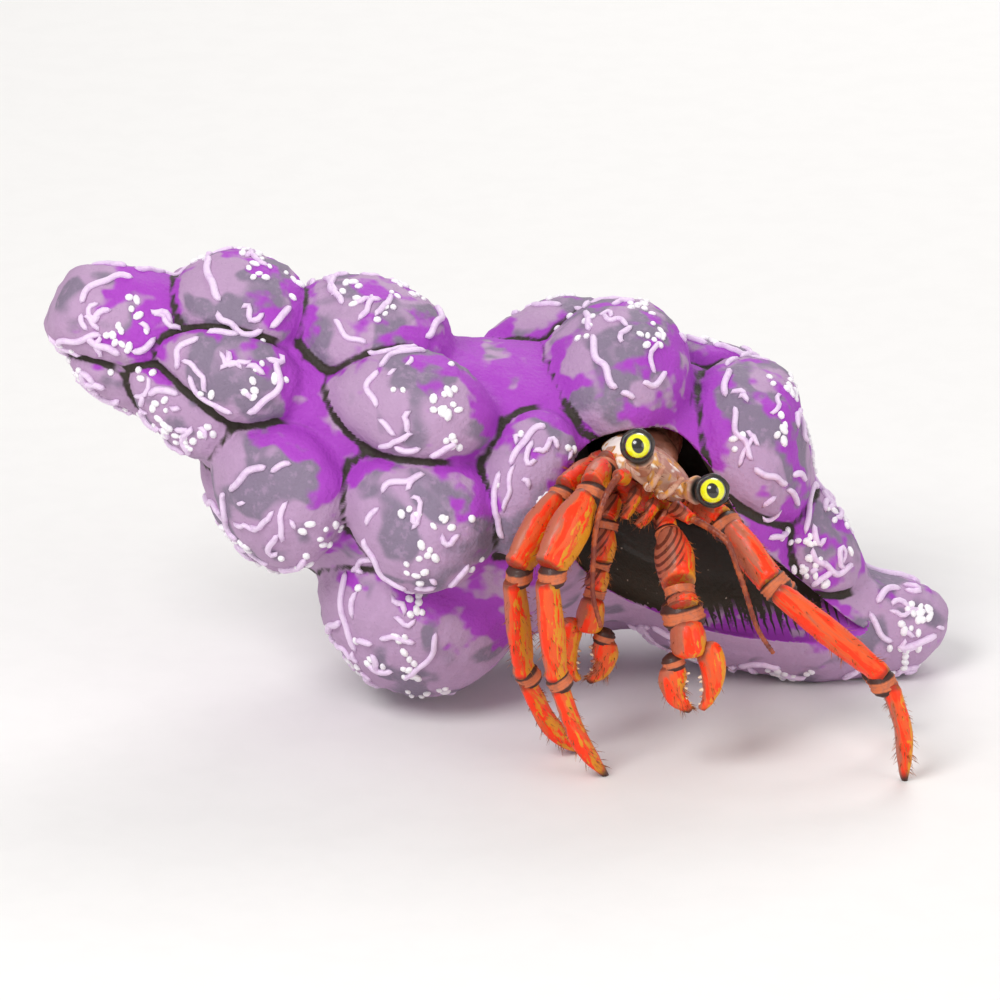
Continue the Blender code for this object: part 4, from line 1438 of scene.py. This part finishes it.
class CRAB_OT_eyes(bpy.types.Operator):
    """The round eyes, with a yellow ring, a dark pupil and a dark collar"""

    bl_idname = "hermit_crab.eyes"
    bl_label = "Eyes"

    def execute(self, context):
        s = settings().face
        finish = eye_finish(s)
        rim = bmesh.new()
        for side in ("left", "right"):
            node = f"eye_{side}"
            obj = fine_copy(node, 3)
            centre, gaze = middle_of(node), toward_viewer()
            right = Vector((1, 0, 0))
            offsets = (mesh_points(obj.data) - np.array(centre)) / MM
            beside, above = offsets @ np.array(right), offsets @ np.array(gaze.cross(right))
            x = beside * math.cos(PUPIL_TILT) - above * math.sin(PUPIL_TILT)
            y = beside * math.sin(PUPIL_TILT) + above * math.cos(PUPIL_TILT)
            from_middle = np.hypot(beside, above)
            pupil_radii = np.hypot(x, y / PUPIL_STRETCH) / (s.pupil / MM)
            behind = offsets @ np.array(gaze) < 0
            write_attribute(obj.data, "gaze", np.where(behind, BEHIND, from_middle))
            write_attribute(obj.data, "pupil", np.where(behind, BEHIND, pupil_radii))
            finished(obj, finish, "yellow_eye", node)
            low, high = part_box(node)
            self.add_collar(rim, centre, gaze, (high - low).length / 2 / math.sqrt(3), s.collar)
        dark = plain_finish("eye collar", s.black, tone(60, 40, 30), 0.6, 0.35, 0.05, 0.3)
        piece(link("eye_collars", rim, [dark]), "tan_shield")
        return {"FINISHED"}

    def add_collar(self, bm, centre, gaze, eye_radius, thickness):
        """An uneven ring round the eye, square to its gaze and a little behind its middle."""
        radius = eye_radius * 1.02
        upright = Matrix.Translation((radius, 0, 0)) @ Matrix.Rotation(math.pi / 2, 4, "X")
        section = bmesh.ops.create_circle(bm, segments=14, radius=thickness, matrix=upright)
        edges = list({e for v in section["verts"] for e in v.link_edges})
        bmesh.ops.spin(
            bm, geom=edges, cent=(0, 0, 0), axis=(0, 0, 1), angle=2 * math.pi, steps=48,
            use_merge=True,
        )
        ring = [v for v in bm.verts if not v.tag]
        bulges = 0.22 * lumps(positions(ring), eye_radius * 0.7, 4.0, 2)
        for vert, bulge in zip(ring, bulges):
            core = Vector((vert.co.x, vert.co.y, 0)).normalized() * radius
            vert.co = core + (vert.co - core) * (1 + bulge)
        bmesh.ops.transform(bm, verts=ring, matrix=aimed(centre - gaze * eye_radius * 0.25, gaze))
        for vert in ring:
            vert.tag = True
        bmesh.ops.recalc_face_normals(bm, faces=bm.faces)


FEELER_RING = 0.55 * MM  # from one ring of a feeler to the next


class CRAB_OT_feelers(bpy.types.Operator):
    """The long feelers, ringed along their length"""

    bl_idname = "hermit_crab.feelers"
    bl_label = "Feelers"

    def execute(self, context):
        s = settings().face
        finish = plain_finish("feelers", s.feeler, tone(170, 78, 34), 1.6, 0.4, 0.04, 0.2)
        for side in ("left", "right"):
            node = f"antenna_{side}"
            obj = fine_copy(node, 4)
            base = np.array(middle_of(f"antenna_base_{side}"))
            reach = np.linalg.norm(mesh_points(obj.data) - base, axis=1)
            swell(obj.data, np.cos(2 * math.pi * reach / FEELER_RING) * 0.03 * MM)
            finished(obj, finish, "orange_shell_plates", node)
        return {"FINISHED"}


# ------------------------------------------------------------------ soft hind body
class CRAB_OT_hind_body(bpy.types.Operator):
    """The soft hind body as one skin, and the small hind legs that grip the shell"""

    bl_idname = "hermit_crab.hind_body"
    bl_label = "Hind body"

    def execute(self, context):
        s = settings().body
        finish = plain_finish("soft skin", s.skin, s.vein, 2.6, 0.32, 0.12, 0.35)
        bm = bmesh.new()
        for node in SOFT_TRUNK:
            part = fine_copy(node, 2)
            bm.from_mesh(part.data)
            bpy.data.objects.remove(part)
        bm.normal_update()
        for vert, normal in [(v, v.normal.copy()) for v in bm.verts]:
            vert.co += normal * s.bridge
        skin = link("hind_body_skin", bm, [])
        modifier = skin.modifiers.new("one_skin", "REMESH")
        modifier.mode, modifier.voxel_size = "VOXEL", s.cell
        settle(skin)
        bm = bmesh.new()
        bm.from_mesh(skin.data)
        drop_small_parts(bm)
        smooth_verts(bm, bm.verts, 10)
        bm.to_mesh(skin.data)
        bm.free()
        folds = lumps(mesh_points(skin.data), 1.1 * MM, 6.0, 2)
        swell(skin.data, 0.14 * MM * folds - s.bridge * 0.8)
        finished(skin, finish, "soft_skin", *SOFT_TRUNK)
        for number, node in enumerate(HIND_LEGS):
            obj = fine_copy(node, 3)
            folds = lumps(mesh_points(obj.data), 0.9 * MM, float(number), 2)
            swell(obj.data, 0.05 * MM * folds)
            finished(obj, finish, "soft_skin", node)
        return {"FINISHED"}


# ------------------------------------------------------------------ bristles
class CRAB_OT_bristles(bpy.types.Operator):
    """Short amber bristles on the legs, claws and mouth limbs"""

    bl_idname = "hermit_crab.bristles"
    bl_label = "Bristles"

    def execute(self, context):
        s = settings().armour
        rng = random.Random(7)
        places = []
        for limb in CHAINS:
            for name, segment in limb_segments(limb).items():
                number = BRISTLES.get(name, 0)
                places += self.tuft_places(rng, f"{limb}_{name}", segment, number, s)
        for side in ("left", "right"):
            for part, number in MOUTH_BRISTLES.items():
                node = f"{part}_{side}"
                places += self.tuft_places(rng, node, Segment(node, "thorax"), number, s)
        hair = plain_finish("bristles", s.bristle_colour, tone(120, 60, 24), 0.8, 0.4, 0.01, 0.0)
        bristle = bmesh.new()
        bmesh.ops.create_cone(
            bristle, cap_ends=True, segments=4, radius1=s.bristle_radius,
            radius2=s.bristle_radius * 0.2, depth=1,
        )
        finished(scatter("bristles", bristle, places), hair, "orange_shell_plates")
        return {"FINISHED"}

    def tuft_places(self, rng, node, segment, number, s):
        """Where the bristles of a node's plate stand: in tufts of one to three."""
        mesh = bpy.data.objects[PLATE.format(node)].data
        points, normals = mesh_points(mesh), mesh_normals(mesh)
        share = segment.shares(points)
        chosen = np.flatnonzero((share > 0.15) & (share < 0.93) & (points[:, 2] > 1.0 * MM))
        places = []
        for _ in range(number):
            k = rng.choice(chosen)
            point, normal = Vector(points[k]), Vector(normals[k])
            for _ in range(rng.choice((1, 2, 2, 3))):
                stray = Vector([rng.uniform(-0.25, 0.25) for _ in range(3)])
                aim = (normal * 0.75 + segment.toward * 0.75 + stray).normalized()
                size = s.bristle * rng.uniform(0.35, 1.0) * (0.6 if share[k] < 0.5 else 1.0)
                stretch = Matrix.Diagonal((1, 1, size, 1))
                places.append(aimed(point + aim * size * 0.45, aim) @ stretch)
        return places


# ------------------------------------------------------------------ stage
# Each light's place from the middle of the model, and its width.
LIGHTS = {
    "key": ((-0.28, -0.42, 0.50), 0.34),
    "fill": ((0.55, -0.40, 0.22), 0.50),
    "back": ((0.15, 0.50, 0.45), 0.40),
}


class CRAB_OT_stage(bpy.types.Operator):
    """The pale floor, the soft lights and the camera"""

    bl_idname = "hermit_crab.stage"
    bl_label = "Stage"

    def execute(self, context):
        s = settings().stage
        aim = Vector(row_shift() * MM)
        aim.z = s.aim_height
        self.make_floor(s)
        self.make_camera(s, aim)
        for name, (offset, size) in LIGHTS.items():
            self.make_light(f"{name}_light", aim, Vector(offset), size, getattr(s, name))
        world = bpy.data.worlds.new("studio")
        world.use_nodes = True
        ground = world.node_tree.nodes["Background"]
        ground.inputs["Color"].default_value = (1.0, 1.0, 1.0, 1.0)
        ground.inputs["Strength"].default_value = s.sky
        context.scene.world = world
        context.scene.view_settings.view_transform = "Standard"
        return {"FINISHED"}

    def make_floor(self, s):
        bm = bmesh.new()
        bmesh.ops.create_circle(bm, cap_ends=True, segments=96, radius=4.0)
        finish = plain_finish("pale floor", s.floor, shaded(s.floor, 0.99), 6.0, 0.8, 0.004, 0.0)
        link("floor", bm, [finish], smooth=False)

    def make_camera(self, s, aim):
        data = bpy.data.cameras.new("camera")
        data.lens, data.sensor_width = s.lens, 36.0
        data.clip_start, data.clip_end = 0.01, 20.0
        back = toward_viewer()
        bpy.context.scene.camera = self.placed("camera", data, aim + back * s.distance, back)

    def make_light(self, name, aim, offset, size, power):
        data = bpy.data.lights.new(name, "AREA")
        data.shape, data.size, data.energy = "DISK", size, power
        self.placed(name, data, aim + offset, offset)

    def placed(self, name, data, place, back):
        """An object that looks away from the way given as its back."""
        obj = bpy.data.objects.new(name, data)
        obj.location, obj.rotation_euler = place, back.to_track_quat("Z", "Y").to_euler()
        bpy.context.scene.collection.objects.link(obj)
        return obj


# ------------------------------------------------------------------ panel and start
OPERATORS = (
    CRAB_OT_stage, CRAB_OT_shell, CRAB_OT_growths, CRAB_OT_plates, CRAB_OT_claw_teeth, CRAB_OT_joints,
    CRAB_OT_head, CRAB_OT_eyes, CRAB_OT_feelers, CRAB_OT_hind_body, CRAB_OT_bristles,
)
GROUPS = (
    ShellSettings, GrowthSettings, ArmourSettings, FaceSettings, BodySettings, StageSettings,
    CrabSettings,
)


class CRAB_PT_panel(bpy.types.Panel):
    bl_label = "Hermit crab"
    bl_idname = "CRAB_PT_panel"
    bl_space_type = "VIEW_3D"
    bl_region_type = "UI"
    bl_category = "Hermit crab"

    def draw(self, context):
        for operator in OPERATORS:
            self.layout.operator(operator.bl_idname)
        for name in ("shell", "growths", "armour", "face", "body", "stage"):
            box = self.layout.box()
            box.label(text=name.title())
            group = getattr(context.scene.hermit_crab, name)
            for setting in group.bl_rna.properties.keys()[2:]:
                box.prop(group, setting)


def register():
    for cls in (*GROUPS, *OPERATORS, CRAB_PT_panel):
        bpy.utils.register_class(cls)
    bpy.types.Scene.hermit_crab = PointerProperty(type=CrabSettings)


def unregister():
    del bpy.types.Scene.hermit_crab
    for cls in reversed((*GROUPS, *OPERATORS, CRAB_PT_panel)):
        bpy.utils.unregister_class(cls)


def main():
    register()
    for operator in OPERATORS:
        group, name = operator.bl_idname.split(".")
        getattr(getattr(bpy.ops, group), name)()


if __name__ == "__main__":
    main()
